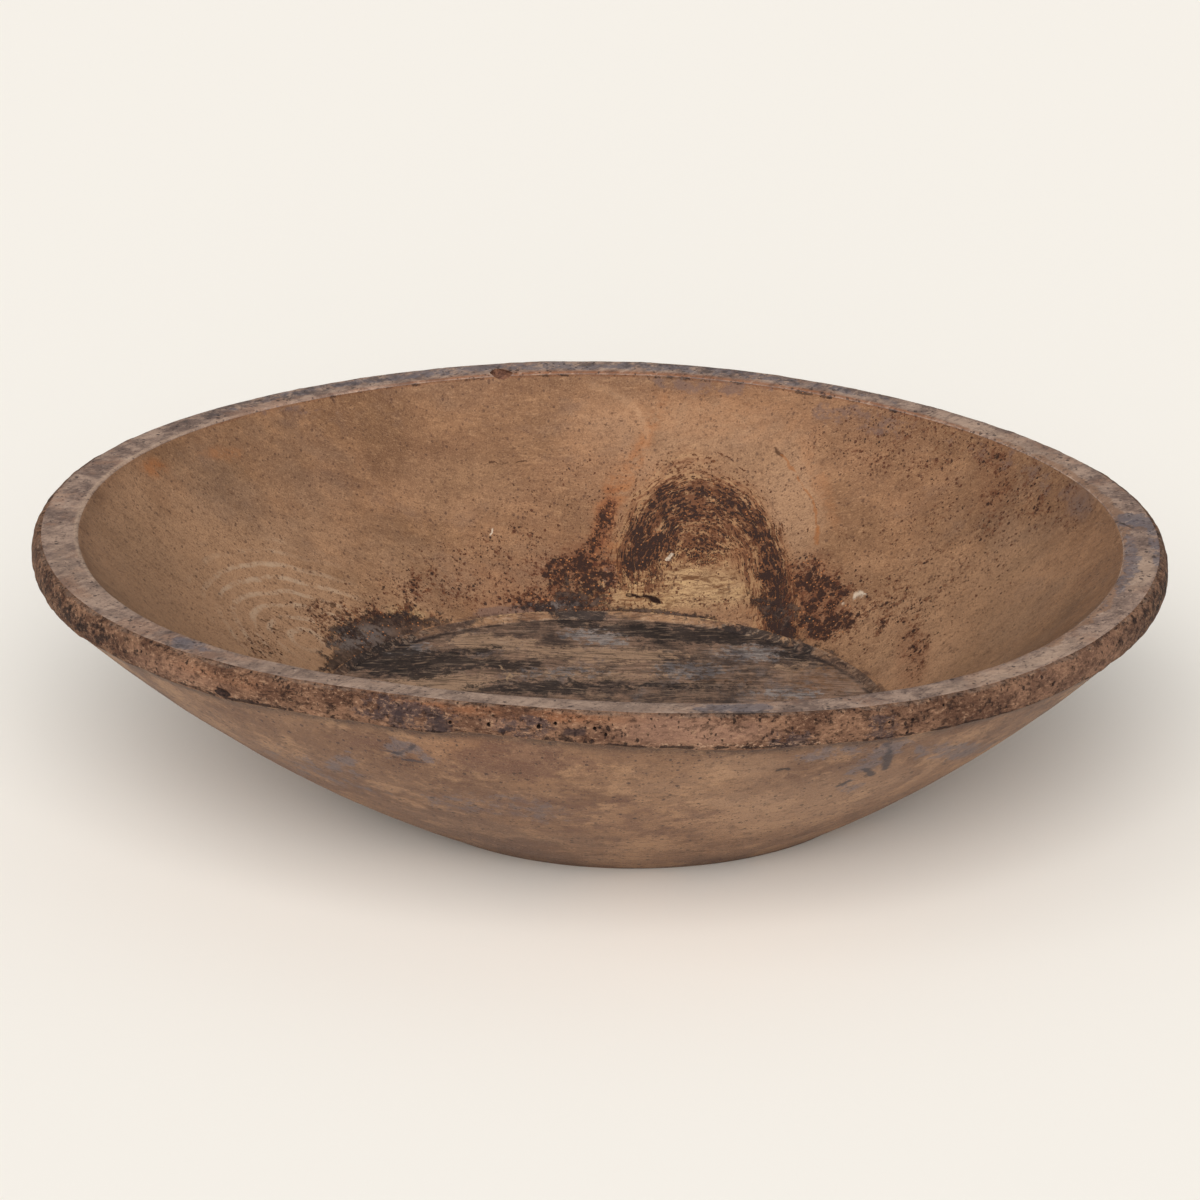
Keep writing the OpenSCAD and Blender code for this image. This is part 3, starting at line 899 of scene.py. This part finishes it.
# %% The knot: rings cut by dark broken dashes, which crowd where the painted density is high
dash_gap, dash_kind = wood.cells(wriggle, 1.55, voronoi_dimensions="2D")
knot_density = wood.painted("knot")
patchy = wood.line(wood.noise(70.0, 5.0, 0.72), 3.6, -0.75)
dash_level = wood.calc("MINIMUM", wood.times(knot_density, patchy), 1.1)
dash_size = wood.line(wood.times(dash_level, dash_level), 0.4, wood.line(dash_kind[1], 0.26, 0.18))
dash_there = wood.step(wood.line(dash_level, 1.35, wood.times(dash_kind[0], -1.0)), 0.0, 0.07)
knot_cut = wood.times(wood.step(wood.calc("DIVIDE", dash_gap, dash_size), 1.0, 0.68), dash_there)
knot_cut = wood.within(knot_cut, knot_density, 0.03, 0.1)
knot_brown = wood.step(knot_density, 0.06, 0.4)
streaked = wood.step(wood.line(wood.calc("SUBTRACT", hatch, 0.5), 3.4, wood.times(dash_level, 1.2)), 0.4, 0.8)
knot_black = wood.tint(wood.step(wood.line(dash_kind[2], 0.5, dash_level), 0.6, 1.0),
                       rgb(86, 52, 34), rgb(42, 30, 28))
grain_lines = wood.noise(430.0, 5.0, 0.72, scale=(0.14, 0.5, 1.0))
wood.wash(
    (wood.within(tan, grain_lines, 0.52, 0.58), 0.9, (92, 60, 38)),
    (wood.within(tan, grain_lines, 0.46, 0.38), 0.5, (186, 152, 110)),
    (wood.within(knot_brown, hatch, 0.56, 0.4), 0.42, (164, 126, 88)),
    (wood.within(knot_brown, hatch, 0.44, 0.54), 0.6, (122, 80, 52)),
    (wood.times(knot_brown, streaked), 0.8, (90, 56, 38)),
    (knot_cut, 0.93, knot_black))

# %% The hollow's specks and burns
thick = wood.painted("specks")
spot = wood.use(dark_specks, Density=thick, Fineness=1.08)
stray = wood.use(dark_specks, Density=0.27, Fineness=0.95)
# The burnt mask also carries a thin painted shadow line under the lip.
burn = wood.torn("char_and_shadow", 0.8, 1.2)
ash = wood.noise(110.0, 8.0, 0.8, location=(0.5, 0.2, 0.9))
ash_color = wood.tint(wood.step(ash, 0.46, 0.58), rgb(38, 31, 30), rgb(80, 63, 54))
ash_color = wood.tint(wood.within("blue", ash, 0.47, 0.53), ash_color, rgb(98, 91, 88))
crust = wood.calc("MAXIMUM", wood.calc("MAXIMUM", burn, knot_density), wood.step(thick, 0.35, 0.75))
wood.wash(
    (spot["Under"], 0.8, (92, 56, 38)),
    (spot["Mask"], 0.9, wood.tint(spot["Core"], rgb(82, 48, 34), rgb(42, 29, 26))),
    (stray["Mask"], 0.6, (72, 50, 41)),
    (burn, 0.88, ash_color),
    (wood.times(spot["Fleck"], crust), 0.8, (172, 112, 70)),
    ("Pores", 0.55, (78, 52, 40)))

# %% The hollow's cracks, streaks, flakes and smear
wood.draw(0.85, (70, 46, 32),
          ((-61, 211, 100), (-39, 216, 100), 0.6), ((-202, 145, 130), (-170, 174, 124), 0.6),
          ((-162, 177, 121), (-137, 190, 115), 0.6), ((94, 211, 107.5), (96, 207, 105.5), 1.5),
          ((256, 15, 128), (256, -1, 128), 0.9), ((-229, 105, 134), (-222, 105, 128), 0.9),
          ((-170, 49, 68), (-156, 69, 62.8), 0.8), ((-168, 44, 66), (-160, 52, 63), 0.7),
          ((-175, 29, 68.3), (-168, 18, 62.4), 0.7), ((-179, 15, 70), (-166, 30, 61), 0.6),
          ((-144, 94, 63.8), (-136, 95, 59.5), 0.8), ((-135, 92, 57.9), (-129, 94, 54.6), 0.8))
wood.draw(0.62, (138, 86, 48),
          ((96, 207, 105.5), (105, 195, 98), 0.9), ((105, 195, 98), (113, 177, 89), 0.9),
          ((113, 177, 89), (114, 161, 79), 1.2), ((114, 161, 79), (113, 156, 75), 2.0))
wood.draw(1.0, (34, 18, 12),
          ((13, 150, 46.8), (24, 147, 46.2), 1.0), ((22, 148, 46.4), (31, 146, 45.4), 1.7))
wood.draw(0.75, (196, 178, 158),
          ((131, 112, 59), (135, 110, 61.5), 1.9), ((134, 110, 61), (137, 109, 61), 1.0),
          ((125, 111, 56.3), (126, 111, 56.5), 1.1), ((-58, 175, 71.6), (-57, 178, 75), 0.8),
          ((36, 169, 61), (38, 170, 64), 1.0))
wood.draw(0.14, (182, 146, 114),
          ((-4, 254, 131), (10, 251, 127), 3.0), ((10, 251, 127), (20, 244, 120), 3.2),
          ((20, 244, 120), (25, 232, 111), 3.2), ((25, 232, 111), (24, 220, 100), 2.6))
dark = wood.calc("MAXIMUM", wood.calc("MAXIMUM", burn, knot_cut), spot["Mask"])
height = wood.line(fibre, 0.5, wood.times(grit, 0.35))
height = wood.line(wood.calc("MAXIMUM", dark, wood.figure["Pores"]), -0.5, height)
wood.close(wood.step(dark, 0.0, 1.0, 0.5, 0.8), height, 0.7, 0.12)

# %% The floor: scrubbed, burnt and washed out along the grain
floor = wood = Finish("floor_wood", 0.8, 0.8)
fibre = wood.figure["Fibre"]
scrub = wood.noise(42.0, 9.0, 0.76, scale=(1.0, 0.5, 1.0))
wood.base(scrub, 0.4, 0.6, (72, 59, 53), (134, 106, 88))
wood.wash(
    (wood.noise(70.0, 8.0, 0.78, scale=(1.0, 0.55, 1.0), location=(0.2, 0.5, 0.1)), 0.55,
     (154, 124, 101), 0.52, 0.62),
    (wood.noise(52.0, 8.0, 0.78, scale=(1.0, 0.5, 1.0), location=(0.6, 0.1, 0.3)), 0.5,
     (110, 102, 101), 0.53, 0.63),
    (wood.torn("pale", 0.7, 1.2), 0.85, (160, 130, 105)),
    (wood.torn("orange", 0.7, 1.3), 0.6, (124, 88, 60)),
    (wood.torn("blue", 0.5, 1.8), 0.78,
     wood.tint(wood.step(scrub, 0.42, 0.6), rgb(98, 93, 94), rgb(146, 139, 135))))

# %% The floor's shoulder, its burns, painted shade in the crease at the shoulder's foot, and its open grain
shoulder = from_axis(wood)
uneven = wood.noise(30.0, 5.0, 0.7)
bare = wood.step(wood.line(wood.painted("tan"), 0.36, uneven), 0.56, 0.68)
burn = wood.torn("char_and_shadow", 0.7, 1.4)
off_edge = wood.calc("ABSOLUTE", wood.calc("SUBTRACT", shoulder, (FLOOR_R - 1.3) * MM))
crease_shade = wood.step(off_edge, 2.2 * MM, 0.4 * MM)
open_grain = wood.noise(420.0, 5.0, 0.74, scale=(0.16, 0.8, 1.0))
spot = wood.use(dark_specks, Density=0.24, Fineness=1.3)
wood.wash(
    (shoulder, 0.7,
     wood.tint(wood.step(uneven, 0.42, 0.58), rgb(80, 60, 49), rgb(120, 90, 68)),
     (FLOOR_R - 0.1) * MM, (FLOOR_R + 0.7) * MM),
    (wood.times(wood.step(shoulder, (FLOOR_R - 0.5) * MM, (FLOOR_R + 0.5) * MM), bare), 0.85,
     wood.tint(wood.step(scrub, 0.4, 0.6), rgb(116, 84, 62), rgb(162, 126, 94))),
    (burn, 0.92, wood.tint(wood.step(scrub, 0.4, 0.62), rgb(33, 29, 29), rgb(58, 50, 47))),
    # A thin dark line at the foot of the shoulder: painted shade in the crease there.
    (wood.within(crease_shade, uneven, 0.42, 0.54), 0.8, (40, 32, 31)),
    (open_grain, 0.5, (50, 42, 39), 0.51, 0.6),
    (open_grain, 0.35, (162, 138, 118), 0.45, 0.37),
    (fibre, 0.45, (46, 39, 36), 0.5, 0.62),
    (fibre, 0.4, (158, 130, 108), 0.45, 0.34),
    (spot["Mask"], 0.7, (44, 36, 35)))
wood.draw(0.85, (50, 38, 34), ((113, 85, 38), (125, 67, 38), 0.8), ((125, 67, 38), (130, 46, 38), 0.8))
wood.draw(0.75, (160, 132, 104),
          ((110, 79, 38), (108, 56, 38), 1.0), ((-50, 64, 38), (-42, 39, 38), 1.0),
          ((-46, 58, 38), (-47, 41, 38), 0.8))
height = wood.line(fibre, 0.6, wood.times(wood.figure["Streaks"], 0.5))
wood.close(wood.step(burn, 0.0, 1.0, 0.56, 0.7), height, 0.9, 0.1)

# %% The rim's top face: weathered grey-brown
rim_face = wood = Finish("rim_face_wood", 1.9, 1.6)
fibre = wood.figure["Fibre"]
wood.base(wood.noise(55.0, 8.0, 0.76), 0.4, 0.6, (110, 90, 81), (168, 142, 125))
scrape_place = wood.vector("MULTIPLY", wood.place(rotation=(0.0, 0.0, -1.0)), (0.22, 1.0, 1.0))
scrape = wood.noise(330.0, 6.0, 0.76, scrape_place)
spot = wood.use(dark_specks, Density=0.25, Fineness=0.8)
wood.wash(
    (wood.noise(34.0, 6.0, 0.7, location=(0.4, 0.3, 0.2)), 0.45, (160, 122, 98), 0.52, 0.62),
    # The pale map here lays weathered pale wood and a thin painted highlight along the lip.
    ("pale", 0.75, (180, 153, 132)),
    (wood.torn("tan", 1.0, 0.8), 0.75, (140, 106, 82)),
    ("orange", 0.85, (134, 84, 52)),
    (wood.torn("edge", 0.5, 0.7), 0.7, (118, 84, 68)),
    (wood.torn("blue", 0.9, 1.1), 0.72, (102, 97, 103)),
    (scrape, 0.5, (82, 66, 60), 0.53, 0.62),
    (scrape, 0.4, (188, 164, 146), 0.45, 0.36),
    (wood.noise(260.0, 6.0, 0.8), 0.4, (84, 68, 62), 0.53, 0.64),
    ("Streaks", 0.28, (92, 76, 72), 0.54, 0.68),
    (fibre, 0.5, (80, 66, 62), 0.55, 0.7),
    (fibre, 0.4, (176, 152, 134), 0.42, 0.3),
    (wood.torn("char_and_shadow", 0.8, 1.2), 0.65, (62, 54, 55)),
    (spot["Mask"], 0.75, (56, 46, 46)))
wood.draw(0.85, (60, 48, 46),
          ((248, 30, 131), (262, 12, 130), 0.9), ((140, -226, 132), (150, -222, 132), 0.7))
wood.close(0.6, wood.line(fibre, 0.7, wood.times(spot["Mask"], -0.6)), 0.9, 0.2)

# %% The band: rough, worm-eaten and reddish
band = wood = Finish("band_wood", 1.8, 2.0)
flat_place = wood.place(scale=(1.0, 1.0, 2.2))
crust = wood.noise(300.0, 6.0, 0.8, flat_place)
clump = wood.noise(45.0, 6.0, 0.68, flat_place)
pits = wood.noise(130.0, 5.0, 0.7, flat_place)
crumbs = wood.step(wood.noise(420.0, 3.0, 0.7, flat_place), 0.52, 0.6)
pale = wood.painted("pale")
worn = wood.line(pale, -0.65, 1.0)
spot = wood.use(dark_specks, Density=0.27, Fineness=0.9)
wood.base(clump, 0.4, 0.62, (104, 73, 57), (150, 112, 88))
wood.wash(
    (pale, 0.7, (172, 132, 110)),
    (wood.torn("edge", 0.5, 0.7), 0.7, (128, 106, 92)),
    (wood.within("orange", clump, 0.36, 0.6), 0.7, (152, 98, 66)),
    (wood.torn("blue", 0.8, 1.6), 0.7, (78, 67, 69)),
    # The light crust and the dark pits stand in for the band's crumbly relief: painted light on its raised
    # bits and painted shade in its pits.
    (crust, 0.72, (188, 148, 118), 0.53, 0.63),
    (wood.within(worn, crust, 0.475, 0.39), 0.85, (62, 44, 37)),
    (wood.within(worn, pits, 0.42, 0.35), 0.75, (54, 38, 34)),
    (wood.times(wood.painted("red"), crumbs), 0.8, (206, 168, 138)),
    # The char map here also carries the painted shadow along the band's lower edge and on its underside.
    (wood.torn("char_and_shadow", 0.6, 1.3), 0.85, (44, 33, 31)),
    (spot["Mask"], 0.85, (46, 34, 32)))
wood.draw(0.85, (44, 32, 30), ((-56, -273, 125), (-44, -273, 119.4), 0.8))
wood.draw(0.75, (66, 54, 55),
          ((-72, -268, 132), (-69, -270, 129), 4.2), ((-14, -278, 130), (-8, -278, 131), 3.0),
          ((-89, -263, 134), (-88, -264, 130), 2.4), ((-44, -275, 130), (-38, -276, 131), 1.6))
height = wood.line(wood.step(pits, 0.43, 0.36), -0.8, wood.times(crust, 1.8))
wood.close(0.7, wood.line(spot["Mask"], -0.8, height), 1.6, 0.1)

# %% The outer wall: smooth, with old smears and streaks
outer_wall = wood = Finish("outer_wall_wood", 1.1, 0.8)
fibre, grit = wood.figure["Fibre"], wood.figure["Grit"]
spot = wood.use(dark_specks, Density=0.28, Fineness=0.8)
wood.base("Mottle", 0.32, 0.68, (106, 77, 59), (146, 111, 83))
wood.wash(
    (wood.noise(30.0, 6.0, 0.64, location=(0.1, 0.1, 0.1)), 0.66, (98, 68, 51), 0.51, 0.39),
    (wood.noise(36.0, 6.0, 0.66, location=(0.3, 0.1, 0.4)), 0.62, (168, 131, 99), 0.5, 0.61),
    ("Streaks", 0.22, (98, 74, 62), 0.54, 0.68),
    (wood.noise(420.0, 5.0, 0.82, scale=(0.8, 0.8, 1.0), rotation=(0.0, 0.5, 0.0)), 0.4,
     (90, 66, 54), 0.5, 0.62),
    ("pale", 0.6, (166, 133, 106)),
    ("orange", 0.5, (140, 90, 60)),
    (wood.torn("blue", 0.9, 1.0), 0.72, (100, 92, 95)),
    (wood.torn("red", 1.3, 1.0), 0.6, (100, 70, 57)),
    # The shade map here is painted shadow under the band and painted shade low on the wall.
    ("shade", 0.85, (64, 46, 38)),
    (wood.torn("char_and_shadow", 1.1, 1.4), 0.55, (70, 56, 52)),
    (wood.noise(16.0, 7.0, 0.7, scale=(0.7, 1.0, 1.0), location=(0.2, 0.2, 0.5)), 0.35,
     (106, 84, 72), 0.52, 0.66),
    (fibre, 0.25, (84, 62, 52), 0.56, 0.72),
    ("Pores", 0.45, (74, 54, 44)),
    (wood.noise(240.0, 5.0, 0.8, scale=(0.6, 1.0, 1.0)), 0.5, (80, 56, 43), 0.53, 0.62),
    (wood.noise(150.0, 6.0, 0.8, location=(0.7, 0.2, 0.6)), 0.22, (178, 140, 108), 0.53, 0.65),
    (grit, 0.3, (92, 68, 54), 0.52, 0.7),
    (grit, 0.25, (186, 150, 120), 0.46, 0.3),
    (spot["Mask"], 0.75, (58, 43, 39)))
wood.draw(0.85, (58, 51, 54),
          ((-92, -243, 106), (-84, -254, 113), 2.2), ((-78, -262, 117), (-76, -254, 109), 1.6),
          ((-99, -242, 107), (-92, -243, 106), 1.8), ((-80, -244, 102), (-88, -240, 102), 1.5),
          ((131, -225, 101), (130, -208, 87), 3.2), ((129, -240, 114), (131, -226, 102), 2.0),
          ((121, -217, 90), (124, -206, 83), 2.4), ((109, -209, 78.5), (115, -209, 81), 2.0))
wood.draw(0.85, (44, 34, 32),
          ((-44, -273, 119.4), (-31, -261, 106.5), 0.8), ((80, -244, 99), (85, -245, 100.5), 1.2))
wood.draw(0.9, (206, 190, 172), ((-171, -218, 122.6), (-169, -217, 120.6), 0.6))
wood.close(0.54, wood.line(fibre, 0.5, wood.times(grit, 0.3)), 0.7)

# %% The foot, the near-black lining of the holes, which is painted shade inside them, and the chipped wood
foot = Finish("foot_wood", 0.7, 1.0)
foot.base("Streaks", 0.38, 0.64, (96, 72, 58), (136, 104, 82))
foot.wash(("Fibre", 0.5, (70, 54, 46), 0.54, 0.7))
foot.close(0.66, foot.figure["Fibre"], 0.8)
hole_shade = Finish("hole_shade_wood", 1.0, 1.0)
hole_shade.base("Grit", 0.4, 0.6, (34, 26, 24), (62, 44, 38))
hole_shade.close(0.8, hole_shade.figure["Grit"], 0.6)
chip = Finish("chip_wood", 1.2, 1.0)
chip.base("Cloud", 0.42, 0.58, (74, 48, 39), (128, 90, 70))
chip.close(0.72, chip.figure["Fibre"], 1.0)
for finish in (floor, hollow, rim_face, band, outer_wall, foot, hole_shade, chip):
    bowl_mesh.materials.append(finish.material)
print("bowl carries", len(bowl_mesh.materials), "finishes")


# %% [markdown]
# ## Holes, the chip and the gouge
# The worm holes are real holes. Small closed lumps are cut out of the bowl with a Boolean,
# and the lump's own finish stays behind as the lining of the hole: a near-black finish that
# is painted shade inside the holes. A bump in a material has no real edge, and it would be
# missing from the mesh.

# %% Cutters for the damage
LUMP_RINGS, LUMP_SPOKES = 7, 12


def blob(centre, axis, length, width, seed, bumpy):
    """A closed lumpy capsule: a sphere of two angles, stretched along its axis and pushed
    about by noise."""
    axis = np.asarray(axis, float) / np.linalg.norm(axis)
    side = np.cross(axis, [0.0, 0.0, 1.0])
    side /= np.linalg.norm(side)
    other = np.cross(side, axis)
    tilt = np.linspace(0.0, np.pi, LUMP_RINGS + 2)[1:-1, None]
    spin = np.linspace(0.0, 2.0 * np.pi, LUMP_SPOKES, endpoint=False)[None, :]
    ball = (np.cos(tilt)[..., None] * axis * length + np.sin(tilt)[..., None] * width
            * (np.cos(spin)[..., None] * side + np.sin(spin)[..., None] * other))
    ball = ball * (1.0 + bumpy * lumps(ball + seed * 7.3, width * 1.1, seed))[..., None]
    ends = np.array([axis * length, -axis * length])
    return np.concatenate([ball.reshape(-1, 3), ends]) + centre


def column_at(angle):
    """The column of the surface nearest to a direction."""
    return int(round(angle / 360.0 * COLUMNS)) % COLUMNS


def on_band(angle, drop):
    """A point on the band's side, by direction and by distance under the rim's top edge, and
    the way out from it."""
    column = column_at(angle)
    side = np.flatnonzero(part == BAND)
    row = side[np.argmin(np.abs(run[side, column] - drop))]
    return surface[row, column], outward[row, column]


# Worm holes: direction in degrees, distance under the top edge along the band, radius.
worm_holes = [(256.3, 9.0, 0.9), (259.8, 8.5, 1.0), (264.5, 7.5, 1.1), (265.9, 5.5, 0.8), (269.6, 7.0, 0.9),
              (270.5, 9.0, 0.9), (297.6, 8.0, 0.7), (300.0, 8.0, 0.9), (299.6, 14.0, 0.8), (252.8, 15.0, 0.8),
              (303.5, 4.0, 0.8), (208.0, 9.0, 0.8), (214.0, 12.0, 0.7), (221.0, 6.0, 0.7), (236.0, 14.0, 0.8),
              (318.0, 9.0, 0.9), (331.0, 6.0, 0.7), (20.0, 9.0, 0.9), (63.0, 12.0, 0.8), (121.0, 8.0, 0.9),
              (164.0, 11.0, 0.8)]
GOUGE_AT, GOUGE_DROP, GOUGE_WAY = 232.2, 13.2, math.radians(231.8)
CHIP_AT = 101.7
shapes = []
for number, (angle, drop, radius) in enumerate(worm_holes):
    spot_on, way = on_band(angle, drop)
    shapes.append(blob(spot_on - way * 1.5, way + [0.0, 0.0, -0.2], length=4.0, width=radius,
                       seed=60 + number, bumpy=0.2))
spot_on, way = on_band(GOUGE_AT, GOUGE_DROP)
round_band = [-math.sin(GOUGE_WAY), math.cos(GOUGE_WAY), 0.06]
shapes.append(blob(spot_on - way * 0.3, round_band, length=4.8, width=2.1, seed=90, bumpy=0.35))
column = column_at(CHIP_AT)
lip = surface[np.flatnonzero(part == FACE)[0], column]
way = np.array([math.cos(turn[column]), math.sin(turn[column]), 0.0])
shapes.append(blob(lip + way * 2.5 + [0.0, 0.0, -0.6], [-way[1], way[0], 0.0],
                   length=6.6, width=6.4, seed=91, bumpy=0.3))
cutter_faces, cutter_slots = [], []
for number, shape in enumerate(shapes):
    for faces in closed_faces(LUMP_RINGS, LUMP_SPOKES):
        cutter_faces += (faces + number * len(shape)).tolist()
        cutter_slots += [CHIPPED if shape is shapes[-1] else HOLE_SHADE] * len(faces)
print(len(shapes), "cutters")

# %% Cut them out, and keep the result as the bowl's own mesh
SHARP_ANGLE = math.radians(38)  # edges that turn by more than this stay crisp
cutter_mesh = bpy.data.meshes.new("damage_cutter")
cutter_mesh.from_pydata((np.concatenate(shapes) * MM).tolist(), [], cutter_faces)
cutter_mesh.polygons.foreach_set("material_index", np.array(cutter_slots, np.int32))
for material in bowl_mesh.materials:
    cutter_mesh.materials.append(material)
cutter = bpy.data.objects.new("damage_cutter", cutter_mesh)
bpy.context.scene.collection.objects.link(cutter)
check = bmesh.new()
check.from_mesh(cutter_mesh)
bmesh.ops.recalc_face_normals(check, faces=check.faces)
check.to_mesh(cutter_mesh)
check.free()
boolean = bowl.modifiers.new("damage", "BOOLEAN")
boolean.operation = "DIFFERENCE"
boolean.solver = "MANIFOLD"
boolean.object = cutter
bpy.context.view_layer.update()
cut_mesh = bpy.data.meshes.new_from_object(bowl.evaluated_get(bpy.context.evaluated_depsgraph_get()))
bowl.modifiers.clear()
bowl.data = cut_mesh
bpy.data.objects.remove(cutter)
cut_mesh.polygons.foreach_set("use_smooth", np.ones(len(cut_mesh.polygons), bool))
cut_mesh.set_sharp_from_angle(angle=SHARP_ANGLE)
print("after the cuts:", sum(len(polygon.vertices) - 2 for polygon in cut_mesh.polygons), "triangles")
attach(bowl, "root")
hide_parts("bowl")


# %% [markdown]
# ## The studio
# The bowl stands on a wide pale floor in soft light from all round, with more of it from the
# front. The floor is a plain matt surface, so it keeps the shadow under the bowl.

# %% Floor
SIDE, NEAR, FAR = 9.0, -7.0, 12.0
floor_mesh = bpy.data.meshes.new("studio_floor")
floor_corners = [(-SIDE, NEAR, 0.0), (SIDE, NEAR, 0.0), (SIDE, FAR, 0.0), (-SIDE, FAR, 0.0)]
floor_mesh.from_pydata(floor_corners, [], [(0, 1, 2, 3)])
studio_floor = bpy.data.objects.new("studio_floor", floor_mesh)
bpy.context.scene.collection.objects.link(studio_floor)
paper = new_material("pale_paper")
nodes = Nodes(paper.node_tree)
nodes.add("OutputMaterial", {0: nodes.add("BsdfDiffuse", {"Color": rgb(244, 240, 233)}).outputs[0]})
floor_mesh.materials.append(paper)

# %% Light
WARM_WHITE, ALL_ROUND = (1.0, 0.99, 0.975), 0.33  # the light's colour, and how much comes from all round
world = bpy.data.worlds.new("studio_world")
bpy.context.scene.world = world
world.use_nodes = True
world.node_tree.nodes.clear()
nodes = Nodes(world.node_tree)
glow = nodes.add("Background", {"Color": (*WARM_WHITE, 1.0), "Strength": ALL_ROUND})
nodes.add("OutputWorld", {0: glow.outputs[0]})


def soft_sun(name, elevation, heading, width, strength):
    """A wide soft light from far off: every point of the floor gets the same from it, if
    nothing is in its way."""
    lamp = bpy.data.lights.new(name, "SUN")
    lamp.angle, lamp.color = math.radians(width), WARM_WHITE
    lamp.energy = strength * math.pi / math.sin(math.radians(elevation))
    holder = bpy.data.objects.new(name, lamp)
    holder.rotation_euler = (math.radians(90.0 - elevation), 0.0, math.radians(heading))
    bpy.context.scene.collection.objects.link(holder)


# Height above the horizon, direction and width in degrees, then the strength on the floor.
soft_sun("front_light", 36.0, 0.0, 45.0, 0.42)
soft_sun("left_light", 42.0, -45.0, 45.0, 0.11)
soft_sun("low_light", 20.0, 0.0, 40.0, 0.16)
print("studio ready")


# %% [markdown]
# ## The camera
# The photograph was taken with a long lens from straight in front, looking down by 19
# degrees. The rim's two edges in the photograph fix that angle and the distance.

# %% Camera
LENS, DISTANCE, ELEVATION, LOOK_AT_Z = 159.65, 2.626, math.radians(18.987), 0.0962
camera_data = bpy.data.cameras.new("photo_camera")
camera_data.lens, camera_data.sensor_width = LENS, 36.0
camera_data.clip_end = 60.0
camera = bpy.data.objects.new("photo_camera", camera_data)
camera.location = (0.0, -DISTANCE * math.cos(ELEVATION), LOOK_AT_Z + DISTANCE * math.sin(ELEVATION))
camera.rotation_euler = (math.pi / 2 - ELEVATION, 0.0, 0.0)
bpy.context.scene.collection.objects.link(camera)
bpy.context.scene.camera = camera
bpy.context.scene.view_settings.view_transform = "Standard"
print("camera at", tuple(round(v, 3) for v in camera.location))
